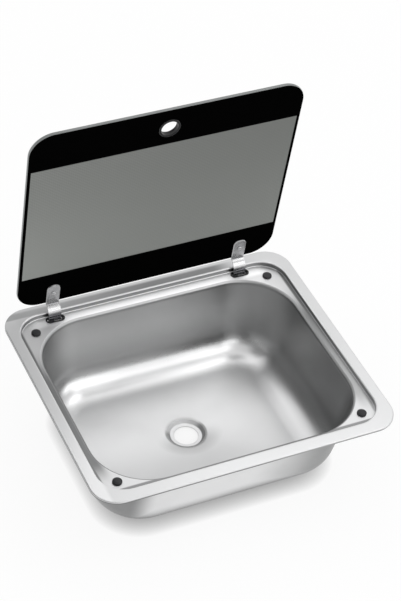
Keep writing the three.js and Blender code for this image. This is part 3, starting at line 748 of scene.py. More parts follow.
def softened(points, radius, closed=False):
    """A line of points with each corner rounded by a short curve."""
    points = [np.array(p, float) for p in points]
    made = []
    for i, point in enumerate(points):
        if not closed and i in (0, len(points) - 1):
            made.append(point)
            continue
        before, after = points[i - 1] - point, points[(i + 1) % len(points)] - point
        reach_before = min(radius, np.linalg.norm(before) * SOFT_SHARE)
        reach_after = min(radius, np.linalg.norm(after) * SOFT_SHARE)
        start = point + before / np.linalg.norm(before) * reach_before
        end = point + after / np.linalg.norm(after) * reach_after
        for share in np.linspace(0, 1, SOFT_STEPS + 1):
            made.append((1 - share) ** 2 * start + 2 * share * (1 - share) * point + share ** 2 * end)
    return np.array(made)


def turned(name, profile, segments=TURN_SEGMENTS):
    """Turned body on the Z axis, from [radius, height] pairs that form a closed section."""
    angles = np.linspace(0, 2 * math.pi, segments, endpoint=False)
    points, faces, rows = [], [], []
    for radius, height in profile:
        if radius < 1e-6:
            rows.append([len(points)] * segments)
            points.append((0, 0, height))
        else:
            rows.append(list(range(len(points), len(points) + segments)))
            points += [(radius * math.cos(a), radius * math.sin(a), height) for a in angles]
    pairs = list(zip(rows, rows[1:]))
    if profile[0][0] > 1e-6:
        pairs.append((rows[-1], rows[0]))
    for lower, upper in pairs:
        for i in range(segments):
            j = (i + 1) % segments
            face = list(dict.fromkeys((lower[i], lower[j], upper[j], upper[i])))
            if len(face) > 2:
                faces.append(face)
    return mesh_object(name, points, faces)


def moved(x=0.0, y=0.0, z=0.0):
    return lambda points: points + np.array([x, y, z])


def onto_lid(body, x=0.0, y=0.0):
    """Moves a body, which is drawn on the closed lid at the pivot's middle, to its place at rest."""
    move_points(body, moved(x, y))
    return move_points(body, lid_open)


def along_x(y=0.0, z=0.0, x=0.0):
    """Lays a turned body along X, on the line through y and z."""
    def change(points):
        return np.column_stack([x + points[:, 2], y + points[:, 1], z - points[:, 0]])
    return change


def prism(name, plan, low, high):
    """Upright prism of a plan outline between two heights."""
    plan = np.asarray(plan)
    count = len(plan)
    points = np.vstack([np.column_stack([plan, np.full(count, z)]) for z in (low, high)])
    faces = [tuple(range(count))[::-1], tuple(range(count, 2 * count))]
    faces += [(i, (i + 1) % count, (i + 1) % count + count, i + count) for i in range(count)]
    return mesh_object(name, points, faces)


def side_plate(name, outline, left, right):
    """Plate whose outline is drawn in the Y-Z plane, between two places along X."""
    made = prism(name, outline, left, right)
    return move_points(made, lambda points: points[:, [2, 0, 1]])


def rod(name, radius, low, high, x=0.0, y=0.0, segments=TURN_SEGMENTS):
    made = turned(name, [(0, low), (radius, low), (radius, high), (0, high)], segments)
    return move_points(made, moved(x, y))


def cross_rod(name, radius, reach, y=0.0, z=0.0):
    return move_points(rod(name, radius, -reach, reach), along_x(y, z))


def flat_card(name, half_x, half_y, z=0.0):
    corners = [(x, y, z) for x, y in box(-half_x, half_x, -half_y, half_y)]
    return mesh_object(name, corners, [(0, 1, 2, 3)])


# ---- Basin ----

def outline(half_x, front, back, corner):
    """Rings along one outline, inset from it at a height; each sinks into the sheet against its face."""
    def ring_at(inset, z, face):
        def ring(depth):
            shift = inset - face[0] * depth
            radius = corner - shift
            return rounded_ring(half_x - shift, front + shift, back - shift, radius, z - face[1] * depth)
        return ring
    return ring_at


rim_ring = outline(RIM_X, -RIM_Y, RIM_Y, RIM_CORNER)
recess_ring = outline(RECESS_X, -RECESS_Y, RECESS_Y, RECESS_CORNER)
mouth_ring = outline(MOUTH_X, MOUTH_FRONT, MOUTH_BACK, MOUTH_CORNER)


def wall_inset(lean, z, depth):
    """How far a leaning wall with its fillet stands inside the mouth at a height."""
    height = WALL_TOP_Z - FLOOR_Z
    tilt = math.atan2(lean, height)
    centre_z = FLOOR_Z + BOWL_FILLET
    centre = lean * (WALL_TOP_Z - centre_z) / height + BOWL_FILLET / math.cos(tilt)
    radius = BOWL_FILLET + depth
    if z > centre_z - radius * math.sin(tilt):
        return lean * (WALL_TOP_Z - z) / height - depth / math.cos(tilt)
    return centre - math.sqrt(max(radius ** 2 - (z - centre_z) ** 2, 0))


def bowl_ring(z, depth):
    side = MOUTH_BEND + wall_inset(LEAN_SIDE, z, depth)
    front = MOUTH_FRONT + MOUTH_BEND + wall_inset(LEAN_FRONT, z, depth)
    back = MOUTH_BACK - MOUTH_BEND - wall_inset(LEAN_BACK, z, depth)
    return rounded_ring(MOUTH_X - side, front, back, MOUTH_CORNER - side, z)


def wall_ring(z):
    return lambda depth: bowl_ring(z, depth)


def fillet_ring(angle):
    def ring(depth):
        return bowl_ring(FLOOR_Z + BOWL_FILLET - (BOWL_FILLET + depth) * math.sin(angle), depth)
    return ring


def drain_ring(inset, z, face):
    """Circle whose points lie in line with the floor's outline, seen from the drain."""
    def ring(depth):
        floor = fillet_ring(math.pi / 2)(0)
        angles = np.arctan2(floor[:, 1] - DRAIN_Y, floor[:, 0])
        radius = DRAIN_RADIUS - (inset - face[0] * depth)
        height = np.full(len(angles), z - face[1] * depth)
        return np.column_stack([radius * np.cos(angles), DRAIN_Y + radius * np.sin(angles), height])
    return ring


def floor_ring(share):
    """Outline of the floor on its way in to the drain, with an even, soft fall."""
    def ring(depth):
        outer = fillet_ring(math.pi / 2)(depth)
        inner = drain_ring(0, DRAIN_EDGE_Z, (0, 1))(depth)
        plan = outer + (inner - outer) * share
        fall = share * share * (3 - 2 * share)
        plan[:, 2] = outer[:, 2] + (inner[:, 2] - outer[:, 2]) * fall
        return plan
    return ring


def bend(ring, inset, z, radius, start, end, steps, outside=True):
    """Rings round a bend; its upper face turns between two angles and is outside or inside it."""
    way = 1 if outside else -1
    made = []
    for angle in np.radians(np.linspace(start, end, steps + 1)):
        face = (math.cos(angle), math.sin(angle))
        made.append(ring(inset + way * radius * face[0], z + way * radius * face[1], face))
    return made


def basin_rings():
    wall_face = 90 - math.degrees(math.atan2(DRAIN_DEPTH, DRAIN_SLOPE))
    drain_foot = DRAIN_BEND + DRAIN_SLOPE
    return [
        rim_ring(0, RIM_TOP - RIM_TURN_DOWN, (-1, 0)),
        *bend(rim_ring, RIM_BEND, RIM_TOP - RIM_BEND, RIM_BEND, 180, 90, 6),
        *bend(recess_ring, -RECESS_BEND, RIM_TOP - RECESS_BEND, RECESS_BEND, 90, 0, 6),
        *bend(recess_ring, RECESS_FILLET, LEDGE_Z + RECESS_FILLET, RECESS_FILLET, 0, 90, 5, False),
        *bend(mouth_ring, 0, LEDGE_Z - MOUTH_BEND, MOUTH_BEND, 90, 0, 8),
        *[wall_ring(z) for z in np.linspace(WALL_TOP_Z, FLOOR_Z + BOWL_FILLET, 8)[1:-1]],
        *[fillet_ring(angle) for angle in np.linspace(0, math.pi / 2, 22)],
        *[floor_ring(share) for share in np.linspace(0, 1, 16)[1:-1]],
        *bend(drain_ring, 0, DRAIN_EDGE_Z - DRAIN_BEND, DRAIN_BEND, 90, wall_face, 5),
        *bend(drain_ring, drain_foot, DRAIN_FLOOR_Z + DRAIN_BEND, DRAIN_BEND, wall_face, 90, 5, False),
        drain_ring(DRAIN_RADIUS - DRAIN_HOLE, DRAIN_FLOOR_Z, (0, 1)),
    ]


def obround(half_length, half_width):
    straight = half_length - half_width
    right = arc(straight, 0, half_width, -90, 90, ROUND_END_STEPS)
    return np.vstack([right, arc(-straight, 0, half_width, 90, 270, ROUND_END_STEPS)])


def make_basin():
    rings = basin_rings()
    upper = [ring(0) for ring in rings]
    lower = [ring(SHEET) for ring in rings][::-1]
    basin = mesh_object("steel_basin", *skin(upper + lower))
    low, high = LEDGE_Z - 2 * SHEET, LEDGE_Z + SHEET
    tools = []
    for x in HINGE_X.values():
        slot = prism("slot_tool", obround(SLOT_HALF_LENGTH, SLOT_WIDTH / 2), low, high)
        tools.append(move_points(slot, moved(x, SLOT_Y)))
    for corner in CORNERS:
        x, y, _ = middle(f"bumper_{corner}")
        tools.append(rod("stem_tool", BUMPER_STEM + LOOSE_GAP, low, high, x, y, 24))
    combine(basin, "DIFFERENCE", *tools)
    coat(basin, basin_steel, outside_steel)
    for face in basin.data.polygons:
        outwards = face.normal.x * face.center.x + face.normal.y * (face.center.y - DRAIN_Y * MM) > 0
        below = face.center.z < (LEDGE_Z - SHEET / 2) * MM
        face.material_index = 1 if face.normal.z < DOWNWARD or (outwards and below) else 0
    dress(basin, None, "basin", "satin_steel", "basin")


# ---- Seal and bumpers ----

def make_seal():
    outer = max(RIM_BEND, SHEET) + SEAT_GAP
    inner = outer + SEAL_WIDTH
    top = RIM_TOP - SHEET - SEAT_GAP
    bottom = RIM_TOP - RIM_TURN_DOWN - SEAL_PROUD
    section = softened(box(outer, inner, top, bottom), 0.8, closed=True)
    rings = []
    for inset, z in section:
        half_y = RIM_Y - inset
        rings.append(rounded_ring(RIM_X - inset, -half_y, half_y, RIM_CORNER - inset, z, 4))
    seal = mesh_object("under_rim_seal", *skin(rings))
    dress(seal, seal_rubber, "basin", "seal_rubber", "rim_seal")


def make_bumper(corner):
    """Push-in rubber dome with a flat top and a bulb that holds it under the ledge."""
    node = f"bumper_{corner}"
    x, y, _ = middle(node)
    height = span(node)[1][2] - LEDGE_Z
    under = -SHEET - SEAT_GAP
    shoulder = height * 0.45
    dome = [
        (BUMPER_RADIUS * math.cos(angle), shoulder + (height - shoulder) * math.sin(angle))
        for angle in np.radians(np.linspace(0, 78, 9))
    ]
    profile = [
        (0, under - BUMPER_BULB_DEPTH),
        *softened([
            (BUMPER_STEM * 0.7, under - BUMPER_BULB_DEPTH),
            (BUMPER_BULB, under - BUMPER_BULB_DEPTH / 3),
            (BUMPER_BULB, under),
            (BUMPER_STEM, under),
            (BUMPER_STEM, SEAT_GAP),
            (BUMPER_RADIUS * 0.97, SEAT_GAP),
            (BUMPER_RADIUS, SEAT_GAP * 2),
        ], 0.3),
        *dome,
        (0, height),
    ]
    bumper = turned(f"bumper_dome_{corner}", profile)
    move_points(bumper, moved(x, y, LEDGE_Z))
    dress(bumper, bumper_rubber, "basin", "bumper_rubber", node)


# ---- Lid ----

def make_lid():
    """Toughened glass plate with a ground round edge and its three holes."""
    half = (LID_TOP - LID_UNDER) / 2
    centre = (LID_TOP + LID_UNDER) / 2
    rings = []
    for angle in np.radians(np.linspace(-90, 90, 13)):
        inset = LID_EDGE_ROUND * (1 - math.cos(angle))
        z = centre + half * math.sin(angle)
        front, back = LID_FRONT + inset, LID_BACK - inset
        rings.append(rounded_ring(LID_X - inset, front, back, LID_CORNER - inset, z, 6, 24))
    points, faces = skin(rings, closed=False)
    count = len(rings[0])
    faces += [tuple(range(count))[::-1], tuple(range(len(points) - count, len(points)))]
    lid = mesh_object("glass_lid", points, faces)
    low, high = LID_UNDER - half, LID_TOP + half
    neck = FINGER_BORE + FINGER_NECK_WALL + SEAT_GAP
    tools = [rod("finger_tool", neck, low, high, 0, FINGER_Y, 64)]
    for x in HINGE_X.values():
        tools.append(rod("screw_tool", BUSH_RADIUS + SEAT_GAP, low, high, x, SCREW_Y))
    combine(lid, "DIFFERENCE", *tools)
    coat(lid, glass_edge, glass_outside, glass_inside)
    for face in lid.data.polygons:
        flat = abs(face.normal.z) > FLAT
        face.material_index = 0 if not flat else 1 if face.normal.z > 0 else 2
    move_points(lid, lid_open)
    lid.visible_glossy = False
    dress(lid, None, "lid", "printed_glass", "lid_glass")


def make_finger_ring():
    low = LID_UNDER - SEAT_GAP
    high = LID_TOP + SEAT_GAP
    neck = FINGER_BORE + FINGER_NECK_WALL
    wide = neck + FINGER_FLANGE_OVER
    section = softened([
        (FINGER_BORE, low - FINGER_FLANGE),
        (wide, low - FINGER_FLANGE),
        (wide, low),
        (neck, low),
        (neck, high),
        (wide, high),
        (wide, high + FINGER_FLANGE),
        (FINGER_BORE, high + FINGER_FLANGE),
    ], 0.55, closed=True)
    ring = turned("finger_hole_ring", section, 72)
    onto_lid(ring, 0, FINGER_Y)
    dress(ring, black_plastic, "lid", "black_plastic", "finger_ring")


# ---- Hinges: pieces that turn with the lid ----

def tab_outline(back):
    """Plan of the tab that lies on the glass: square at the back, round at its free end."""
    half = ARM_WIDTH / 2
    front = LID_BACK - ARM_TAB
    r = ARM_TAB_CORNER
    return np.vstack([
        [(half, back), (-half, back)],
        arc(r - half, front + r, r, 180, 270, 12),
        arc(half - r, front + r, r, 270, 360, 12),
    ])


def curve_points(start, control, end, steps=10):
    """Quadratic curve without its first point."""
    start, control, end = map(np.array, (start, control, end))
    shares = np.linspace(0, 1, steps + 1)[1:, None]
    return (1 - shares) ** 2 * start + 2 * shares * (1 - shares) * control + shares ** 2 * end


def arm_line():
    """Middle line of the arm in the Y-Z plane, from the tab's free end to the eye."""
    def on_bend(angle):
        return np.array([ARM_RADIUS * math.cos(angle), ARM_RADIUS * math.sin(angle)])

    entry = 1.6 * ARM_THICKNESS
    start = math.pi + math.asin(-ARM_MIDDLE / ARM_RADIUS) + entry / ARM_RADIUS
    tail = math.radians(ARM_TAIL_ANGLE)
    leave = tail - 0.16
    elbow = np.array([ELBOW_Y, -ELBOW_DROP])
    to_elbow = 0.35
    tab = np.array([[LID_BACK - ARM_TAB, ARM_MIDDLE], [-ARM_RADIUS - entry, ARM_MIDDLE]])
    arch = [on_bend(angle) for angle in np.linspace(start, leave, 28)[1:]]
    after_tail = on_bend(tail) + (elbow - on_bend(tail)) * to_elbow
    before_elbow = on_bend(tail) + (elbow - on_bend(tail)) * (1 - to_elbow)
    return np.vstack([
        tab,
        curve_points(tab[-1], (-ARM_RADIUS + 0.1, ARM_MIDDLE), on_bend(start), 6),
        arch,
        curve_points(arch[-1], on_bend(tail), after_tail),
        [before_elbow],
        curve_points(before_elbow, elbow, elbow * (1 - to_elbow)),
        [elbow * 0.15],
    ])


def band(name, line, thickness, half_width):
    """Strip of even thickness along a line in the Y-Z plane."""
    ahead = np.vstack([line[1:], line[-1:]])
    behind = np.vstack([line[:1], line[:-1]])
    way = ahead - behind
    way /= np.linalg.norm(way, axis=1)[:, None]
    normal = np.column_stack([-way[:, 1], way[:, 0]]) * thickness / 2
    rings = []
    for x in (-half_width, half_width):
        outline = np.vstack([line + normal, (line - normal)[::-1]])
        rings.append(np.column_stack([np.full(len(outline), x), outline]))
    count = len(line)
    points, faces = skin(rings, closed=False)
    for start in (0, 2 * count):
        for i in range(count - 1):
            far = 2 * count - 1 - i
            faces.append((start + i, start + i + 1, start + far - 1, start + far))
    return mesh_object(name, points, faces)


def make_arm(side):
    half = ARM_WIDTH / 2
    eye_radius = PIN_RADIUS + RUNNING_GAP + EYE_WALL
    arm = band(f"lid_arm_{side}", arm_line(), ARM_THICKNESS, half)
    combine(arm, "UNION", cross_rod("eye_tool", eye_radius, half))
    plan = prism("plan_tool", tab_outline(LID_BACK + 2 * ARM_TAB), -3 * ARM_RADIUS, ARM_RADIUS)
    combine(arm, "INTERSECT", plan)
    pin = cross_rod("pin_tool", PIN_RADIUS + RUNNING_GAP, ARM_WIDTH)
    low, high = ARM_TOP - 2 * ARM_THICKNESS, ARM_TOP + ARM_THICKNESS
    combine(arm, "DIFFERENCE", pin, rod("screw_tool", SCREW_RADIUS + LOOSE_GAP, low, high, 0, SCREW_Y))
    onto_lid(arm, HINGE_X[side])
    dress(arm, arm_steel, "lid", "bright_steel", f"hinge_arm_{side}", bevel=0.2)


def make_pad(side):
    pad = prism(f"lid_pad_{side}", tab_outline(LID_BACK), PAD_TOP - PAD_THICKNESS, PAD_TOP)
    low, high = PAD_TOP - 2 * PAD_THICKNESS, PAD_TOP + PAD_THICKNESS
    combine(pad, "DIFFERENCE", rod("hole_tool", SCREW_RADIUS + LOOSE_GAP, low, high, 0, SCREW_Y))
    onto_lid(pad, HINGE_X[side])
    dress(pad, seal_rubber, "lid", "seal_rubber", f"hinge_pad_{side}", bevel=0.1)


def make_screw(side):
    """Pan-head screw with a cross recess."""
    seat = ARM_TOP - ARM_THICKNESS - SEAT_GAP
    end = LID_TOP + CAP_THICKNESS - CAP_SKIN
    head = [
        (SCREW_HEAD * math.sin(angle), seat - SCREW_HEAD_HEIGHT * (0.3 + 0.7 * math.cos(angle)))
        for angle in np.radians(np.linspace(0, 90, 10))
    ]
    head[0] = (0, head[0][1])
    rim = [(SCREW_HEAD, seat), (SCREW_RADIUS, seat), (SCREW_RADIUS, end), (0, end)]
    screw = turned(f"lid_screw_head_{side}", head + rim)
    top = seat - SCREW_HEAD_HEIGHT
    tools = []
    for half_x, half_y in ((CROSS_REACH, CROSS_HALF_WIDTH), (CROSS_HALF_WIDTH, CROSS_REACH)):
        plan = box(-half_x, half_x, -half_y, half_y)
        tools.append(prism("cross_tool", plan, top - CROSS_DEPTH, top + CROSS_DEPTH))
    combine(screw, "DIFFERENCE", *tools)
    onto_lid(screw, HINGE_X[side], SCREW_Y)
    dress(screw, cap_steel, "lid", "bright_steel", f"lid_screw_{side}")


def make_bush(side):
    low, high = LID_UNDER + SEAT_GAP, LID_TOP - SEAT_GAP
    bush = turned(f"screw_bush_{side}", softened(box(BUSH_BORE, BUSH_RADIUS, low, high), 0.3, closed=True))
    onto_lid(bush, HINGE_X[side], SCREW_Y)
    dress(bush, black_plastic, "lid", "black_plastic", f"lid_bush_{side}")


def make_cap(side):
    """Turned cap nut on the outer face, with a bright chamfer and a faintly dished top."""
    low = LID_TOP + SEAT_GAP
    top = low + CAP_THICKNESS
    edge = CAP_THICKNESS * 0.35
    profile = [
        (0, top - CAP_SKIN),
        (BUSH_BORE, top - CAP_SKIN),
        (BUSH_BORE, low),
        *softened([
            (CAP_RADIUS - 0.4, low),
            (CAP_RADIUS, low + 0.4),
            (CAP_RADIUS, top - edge),
            (CAP_RADIUS - edge, top),
            (CAP_RADIUS - 2 * edge, top - 0.15),
        ], 0.3),
        (0, top - 0.15),
    ]
    cap = turned(f"cap_nut_{side}", profile, 64)
    onto_lid(cap, HINGE_X[side], SCREW_Y)
    dress(cap, cap_steel, "lid", "bright_steel", f"lid_cap_{side}")


# ---- Hinges: pieces that stay on the basin ----

def make_grommet(side):
    """Moulded liner of the slot: a rounded flange, a neck and a lip under the ledge."""
    neck_length = SLOT_HALF_LENGTH - LOOSE_GAP
    neck_width = SLOT_WIDTH / 2 - LOOSE_GAP
    underside = LEDGE_Z - SHEET - SEAT_GAP
    bottom = underside - GROMMET_LIP_DEPTH
    flange_low = LEDGE_Z + SEAT_GAP
    flange_high = flange_low + GROMMET_FLANGE
    over, lip = LOOSE_GAP + GROMMET_OVER, LOOSE_GAP + GROMMET_LIP
    section = softened([
        (-GROMMET_WALL, bottom),
        (lip, bottom),
        (lip, underside),
        (0, underside),
        (0, flange_low),
        (over, flange_low),
        (over, flange_high),
        (-GROMMET_WALL, flange_high),
    ], 0.3, closed=True)
    rings = []
    for extra, z in section:
        plan = obround(neck_length + extra, neck_width + extra)
        rings.append(np.column_stack([plan, np.full(len(plan), z)]))
    grommet = mesh_object(f"slot_liner_{side}", *skin(rings))
    move_points(grommet, moved(HINGE_X[side], SLOT_Y))
    dress(grommet, black_plastic, "basin", "black_plastic", f"slot_grommet_{side}")


def ear_outline():
    top = RIM_TOP - SHEET - LOOSE_GAP
    under = LEDGE_Z - SHEET - LOOSE_GAP
    behind_step = RECESS_Y + SHEET + LOOSE_GAP
    back = PIVOT_Y + BRACKET_REACH
    bottom = RIM_TOP - BRACKET_DROP
    front = SLOT_Y - SLOT_WIDTH / 2
    clear = RECESS_BEND - SHEET
    return [
        (front, under),
        (behind_step, under),
        (behind_step, top - clear),
        (behind_step + clear, top),
        (back, top),
        (back, PIVOT_Z - BRACKET_SHOULDER),
        (PIVOT_Y - BRACKET_FOOT_BACK, bottom),
        (front, bottom),
    ]


def make_bracket(side):
    """Folded bracket under the ledge: two ears, their feet and the web between them."""
    under = LEDGE_Z - SHEET - LOOSE_GAP
    bottom = RIM_TOP - BRACKET_DROP
    front, back = SLOT_Y - SLOT_WIDTH / 2, SLOT_Y + SLOT_WIDTH / 2
    foot_back = PIVOT_Y - BRACKET_FOOT_BACK
    foot = box(front, back, under - BRACKET_PLATE, under)
    web = box(front, foot_back, bottom, bottom + BRACKET_PLATE)
    bracket = side_plate(f"lid_bracket_{side}", ear_outline(), -EAR_OUTER, -EAR_INNER)
    for outline, left, right in (
        (ear_outline(), EAR_INNER, EAR_OUTER),
        (foot, -EAR_INNER - BRACKET_TAB, -EAR_INNER),
        (foot, EAR_INNER, EAR_INNER + BRACKET_TAB),
        (web, -EAR_OUTER, EAR_OUTER),
    ):
        combine(bracket, "UNION", side_plate("plate_tool", outline, left, right))
    through = EAR_OUTER + BRACKET_PLATE
    pin = cross_rod("pin_tool", PIN_RADIUS + RUNNING_GAP, through, PIVOT_Y, PIVOT_Z)
    spring_rod = cross_rod("rod_tool", ROD_RADIUS + RUNNING_GAP, through, ROD_Y, ROD_Z)
    combine(bracket, "DIFFERENCE", pin, spring_rod)
    move_points(bracket, moved(HINGE_X[side]))
    dress(bracket, zinc_steel, "basin", "zinc_steel", f"hinge_bracket_{side}", bevel=0.2)


def make_pin(side):
    head = -EAR_OUTER - SEAT_GAP
    end = EAR_OUTER + SEAT_GAP + CLIP_WIDTH + SEAT_GAP + PIN_HEAD_HEIGHT / 2
    profile = softened([
        (0, head - PIN_HEAD_HEIGHT),
        (PIN_HEAD, head - PIN_HEAD_HEIGHT),
        (PIN_HEAD, head),
        (PIN_RADIUS, head),
        (PIN_RADIUS, end),
        (0, end),
    ], 0.35)
    pin = turned(f"hinge_pin_{side}", profile, 32)
    move_points(pin, along_x(PIVOT_Y, PIVOT_Z, HINGE_X[side]))
    dress(pin, cap_steel, "basin", "bright_steel", f"pivot_pin_{side}")


def make_clip(side):
    low = EAR_OUTER + SEAT_GAP
    high = low + CLIP_WIDTH
    inner = PIN_RADIUS + RUNNING_GAP
    outer = inner + CLIP_WALL
    clip = turned(f"retaining_clip_{side}", softened(box(inner, outer, low, high), 0.15, closed=True), 32)
    move_points(clip, along_x(PIVOT_Y, PIVOT_Z, HINGE_X[side]))
    dress(clip, zinc_steel, "basin", "zinc_steel", f"pin_clip_{side}")


def make_rod(side):
    head = EAR_OUTER + SEAT_GAP
    profile = softened([
        (0, -head - PIN_HEAD_HEIGHT),
        (ROD_HEAD, -head - PIN_HEAD_HEIGHT),
        (ROD_HEAD, -head),
        (ROD_RADIUS, -head),
        (ROD_RADIUS, head),
        (ROD_HEAD, head),
        (ROD_HEAD, head + PIN_HEAD_HEIGHT),
        (0, head + PIN_HEAD_HEIGHT),
    ], 0.3)
    made = turned(f"cross_rod_{side}", profile, 32)
    move_points(made, along_x(ROD_Y, ROD_Z, HINGE_X[side]))
    dress(made, zinc_steel, "basin", "zinc_steel", f"spring_rod_{side}")


def make_spring(side):
    """Coil round the rod with a short straight leg past each end, as one swept wire."""
    coil = SPRING_TURNS * 2 * math.pi * SPRING_RADIUS
    turn_places = np.linspace(0, coil, SPRING_TURNS * SPRING_STEPS + 1)
    places = np.concatenate([[-SPRING_LEG], turn_places, [coil + SPRING_LEG]])
    turns = np.clip(places / coil, 0, 1) * SPRING_TURNS
    angles = turns * 2 * math.pi
    past = np.where(places < 0, places, np.maximum(places - coil, 0))
    line = np.column_stack([
        turns * SPRING_PITCH,
        SPRING_RADIUS * np.cos(angles) - past * np.sin(angles),
        SPRING_RADIUS * np.sin(angles) + past * np.cos(angles),
    ])
    outwards = np.column_stack([np.zeros(len(angles)), np.cos(angles), np.sin(angles)])
    way = np.gradient(line, axis=0)
    way /= np.linalg.norm(way, axis=1)[:, None]
    across = np.cross(way, outwards)
    rings = []
    for at, out, side_way in zip(line, outwards, across):
        round_angles = np.linspace(0, 2 * math.pi, WIRE_SIDES, endpoint=False)[:, None]
        rings.append(at + (out * np.cos(round_angles) + side_way * np.sin(round_angles)) * SPRING_WIRE / 2)
    points, faces = skin(rings, closed=False)
    faces += [tuple(range(WIRE_SIDES))[::-1], tuple(range(len(points) - WIRE_SIDES, len(points)))]
    spring = mesh_object(f"coil_spring_{side}", points, faces)
    move_points(spring, moved(HINGE_X[side], ROD_Y, ROD_Z))
    dress(spring, spring_steel, "basin", "spring_steel", f"hinge_spring_{side}")


make_basin()
make_seal()
for corner in CORNERS:
    make_bumper(corner)
make_lid()
make_finger_ring()
for side in SIDES:
    make_arm(side)
    make_pad(side)
    make_screw(side)
    make_bush(side)
    make_cap(side)
    make_grommet(side)
    make_bracket(side)
    make_pin(side)
    make_clip(side)
    make_rod(side)
    make_spring(side)


# ---- Camera ----

CAMERA_LENS = 116.1
CAMERA_PLACE = (-0.8486, -1.6243, 1.9041)    # in metres
CAMERA_RIGHT = (0.9111, -0.4067, 0.0668)
CAMERA_UP = (0.2276, 0.6316, 0.7411)
CAMERA_BACK = (-0.3436, -0.6600, 0.6680)


def make_camera():
    data = bpy.data.cameras.new("camera")
    data.lens = CAMERA_LENS
    data.sensor_width = 36
    data.clip_start = 0.05
    data.clip_end = 50
    camera = bpy.data.objects.new("camera", data)
    bpy.context.scene.collection.objects.link(camera)
    turn = Matrix((CAMERA_RIGHT, CAMERA_UP, CAMERA_BACK)).transposed().to_4x4()
    camera.matrix_world = Matrix.Translation(CAMERA_PLACE) @ turn
    bpy.context.scene.camera = camera


# ---- Floor, backdrop and light ----

FLOOR_SHARE = 0.9                # how much of the floor's white is its own
FLOOR_REACH = 6000
CONTACT_SHADOW = 0.025           # reach of the soft shade close under the bowl, in metres


def seen_directly(tree):
    """1 for rays that come straight, or through a mirror or glass, from the camera."""
    path = tree.node("ShaderNodeLightPath")
    camera, mirror, glass = (
        Value(tree, path.outputs[f"Is {kind} Ray"]) for kind in ("Camera", "Glossy", "Transmission")
    )
    return camera | mirror | glass


def make_floor():
    shader = Shader("studio_floor", (0.99, 0.99, 0.99), 0.9, specular=0.0)
    contact = shader.node("ShaderNodeAmbientOcclusion", {"Distance": CONTACT_SHADOW}, samples=16)
    shade = Value(shader, contact.outputs["AO"]).remap(0, 1, 0.2, 1)
    glow = shader.node("ShaderNodeEmission", {"Strength": shade})
    shader.blend(seen_directly(shader) * FLOOR_SHARE, shader.principled, glow)
    floor = flat_card("floor", FLOOR_REACH, FLOOR_REACH, -0.5)
    floor.data.materials.append(shader.material)
    floor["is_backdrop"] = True


def make_world():
    world = bpy.data.worlds.new("studio")
    bpy.context.scene.world = world
    world.use_nodes = True
    tree = Tree(world.node_tree)
    background = tree.nodes["Background"]
    background.inputs["Color"].default_value = (1, 1, 1, 1)
    tree.links.new(seen_directly(tree).remap(0, 1, 0.9, 1).socket, background.inputs["Strength"])


def aim(item, place, target):
    """Puts a light or card at a place and turns its -Z axis to a target, in metres."""
    place, target = Vector(place), Vector(target)
    turn = (target - place).to_track_quat("-Z", "Y").to_matrix().to_4x4()
    item.matrix_world = Matrix.Translation(place) @ turn


def make_key_light():
    data = bpy.data.lights.new("key_softbox", "AREA")
    data.shape = "RECTANGLE"
    data.size = data.size_y = KEY_SIZE
    data.energy = KEY_POWER
    made = bpy.data.objects.new("key_softbox", data)
    bpy.context.scene.collection.objects.link(made)
    aim(made, KEY_PLACE, SINK)


def card(name, azimuth, elevation, wide, high, level):
    """Softbox or flag with soft edges that only mirrors see, on a dome round the sink, in degrees.

    Azimuth 0 is on the right of the sink and 90 behind it.
    """
    turn, rise = math.radians(azimuth), math.radians(elevation)
    way = Vector((math.cos(rise) * math.cos(turn), math.cos(rise) * math.sin(turn), math.sin(rise)))
    half_x = DOME * math.tan(math.radians(wide / 2)) / MM
    half_y = DOME * math.tan(math.radians(high / 2)) / MM
    made = flat_card(name, half_x, half_y)
    shader = Shader(name, (0, 0, 0), 1.0, specular=0.0)
    x, y, _ = shader.axes(shader.place(scale=(1 / (half_x * MM), 1 / (half_y * MM), 1)))
    share = (abs(x) | abs(y)).remap(0.55, 1, 1, 0, "SMOOTHSTEP")
    glow = shader.node("ShaderNodeEmission", {"Strength": level})
    shader.blend(share, shader.node("ShaderNodeBsdfTransparent"), glow)
    made.data.materials.append(shader.material)
    aim(made, Vector(SINK) + way * DOME, SINK)
    only_mirrored(made)


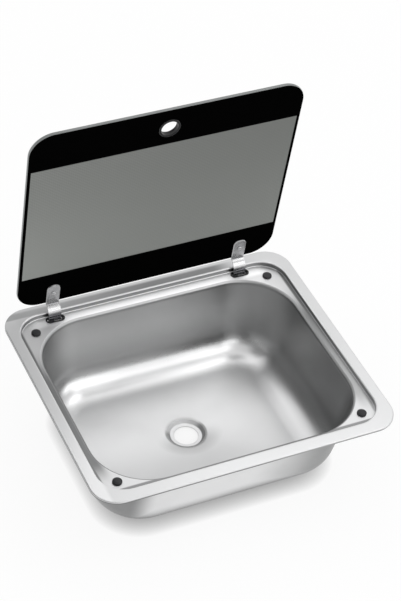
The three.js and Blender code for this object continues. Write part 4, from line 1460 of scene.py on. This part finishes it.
def only_mirrored(made):
    made.visible_camera = False
    made.visible_shadow = False
    made.visible_diffuse = False
    made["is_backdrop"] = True


def lid_backing(low, high):
    """Pale board where the open lid stands: the steel mirrors it in place of the dark glass."""
    left = -0.6 * LID_X
    corners = [(left, LID_BACK, 0), (LID_X, LID_BACK, 0), (LID_X, LID_FRONT, 0), (left, LID_FRONT, 0)]
    board = lid_open(np.add(corners, (0, 0, LID_TOP / 2)))
    made = mesh_object("lid_backing", board, [(0, 1, 2, 3)])
    shader = Shader("lid_backing", (0, 0, 0), 1.0, specular=0.0)
    shader.principled.inputs["Emission Color"].default_value = (1, 1, 1, 1)
    foot, top = board[:, 2].min() * MM, board[:, 2].max() * MM
    shader.use("Emission Strength", shader.axes()[2].remap(foot, top, low, high))
    made.data.materials.append(shader.material)
    only_mirrored(made)


# In metres and watts
SINK = (0, 0, 0.08)              # what the key light and the cards look at
DOME = 2.0                       # distance of the cards
KEY_PLACE = (1.2, -1.1, 2.2)
KEY_SIZE = 1.6
KEY_POWER = 9

make_camera()
make_floor()
make_world()
make_key_light()
lid_backing(1.45, 1.1)
for name, azimuth, elevation, wide, high, level in (
    ("front_strip", 293, 28, 100, 14, 2.1),
    ("front_right_low", 328, 22, 40, 20, 2.3),
    ("front_high", 300, 46, 44, 16, 2.1),
    ("front_top", 290, 62, 60, 20, 0.8),
    ("front_left_high", 240, 56, 50, 26, 0.7),
    ("front_left_low", 225, 26, 54, 32, 0.3),
    ("left_flag", 180, 40, 54, 50, 0.25),
    ("back_left_flag", 130, 42, 54, 50, 0.05),
    ("back_board", 92, 42, 34, 50, 0.5),
    ("back_right", 60, 42, 36, 32, 0.9),
    ("right_high", 30, 60, 54, 22, 3.0),
    ("right_middle", 22, 40, 40, 16, 0.8),
    ("right_low", 0, 24, 50, 20, 0.5),
    ("front_right", 338, 42, 40, 24, 0.6),
    ("overhead", 0, 84, 34, 34, 0.3),
):
    card(name, azimuth, elevation, wide, high, level)

bpy.context.scene.view_settings.view_transform = "Standard"

visual_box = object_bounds()
boxes = {"cad": cad_box, "visual": visual_box}
{name: [list(low), list(high)] for name, (low, high) in boxes.items()}
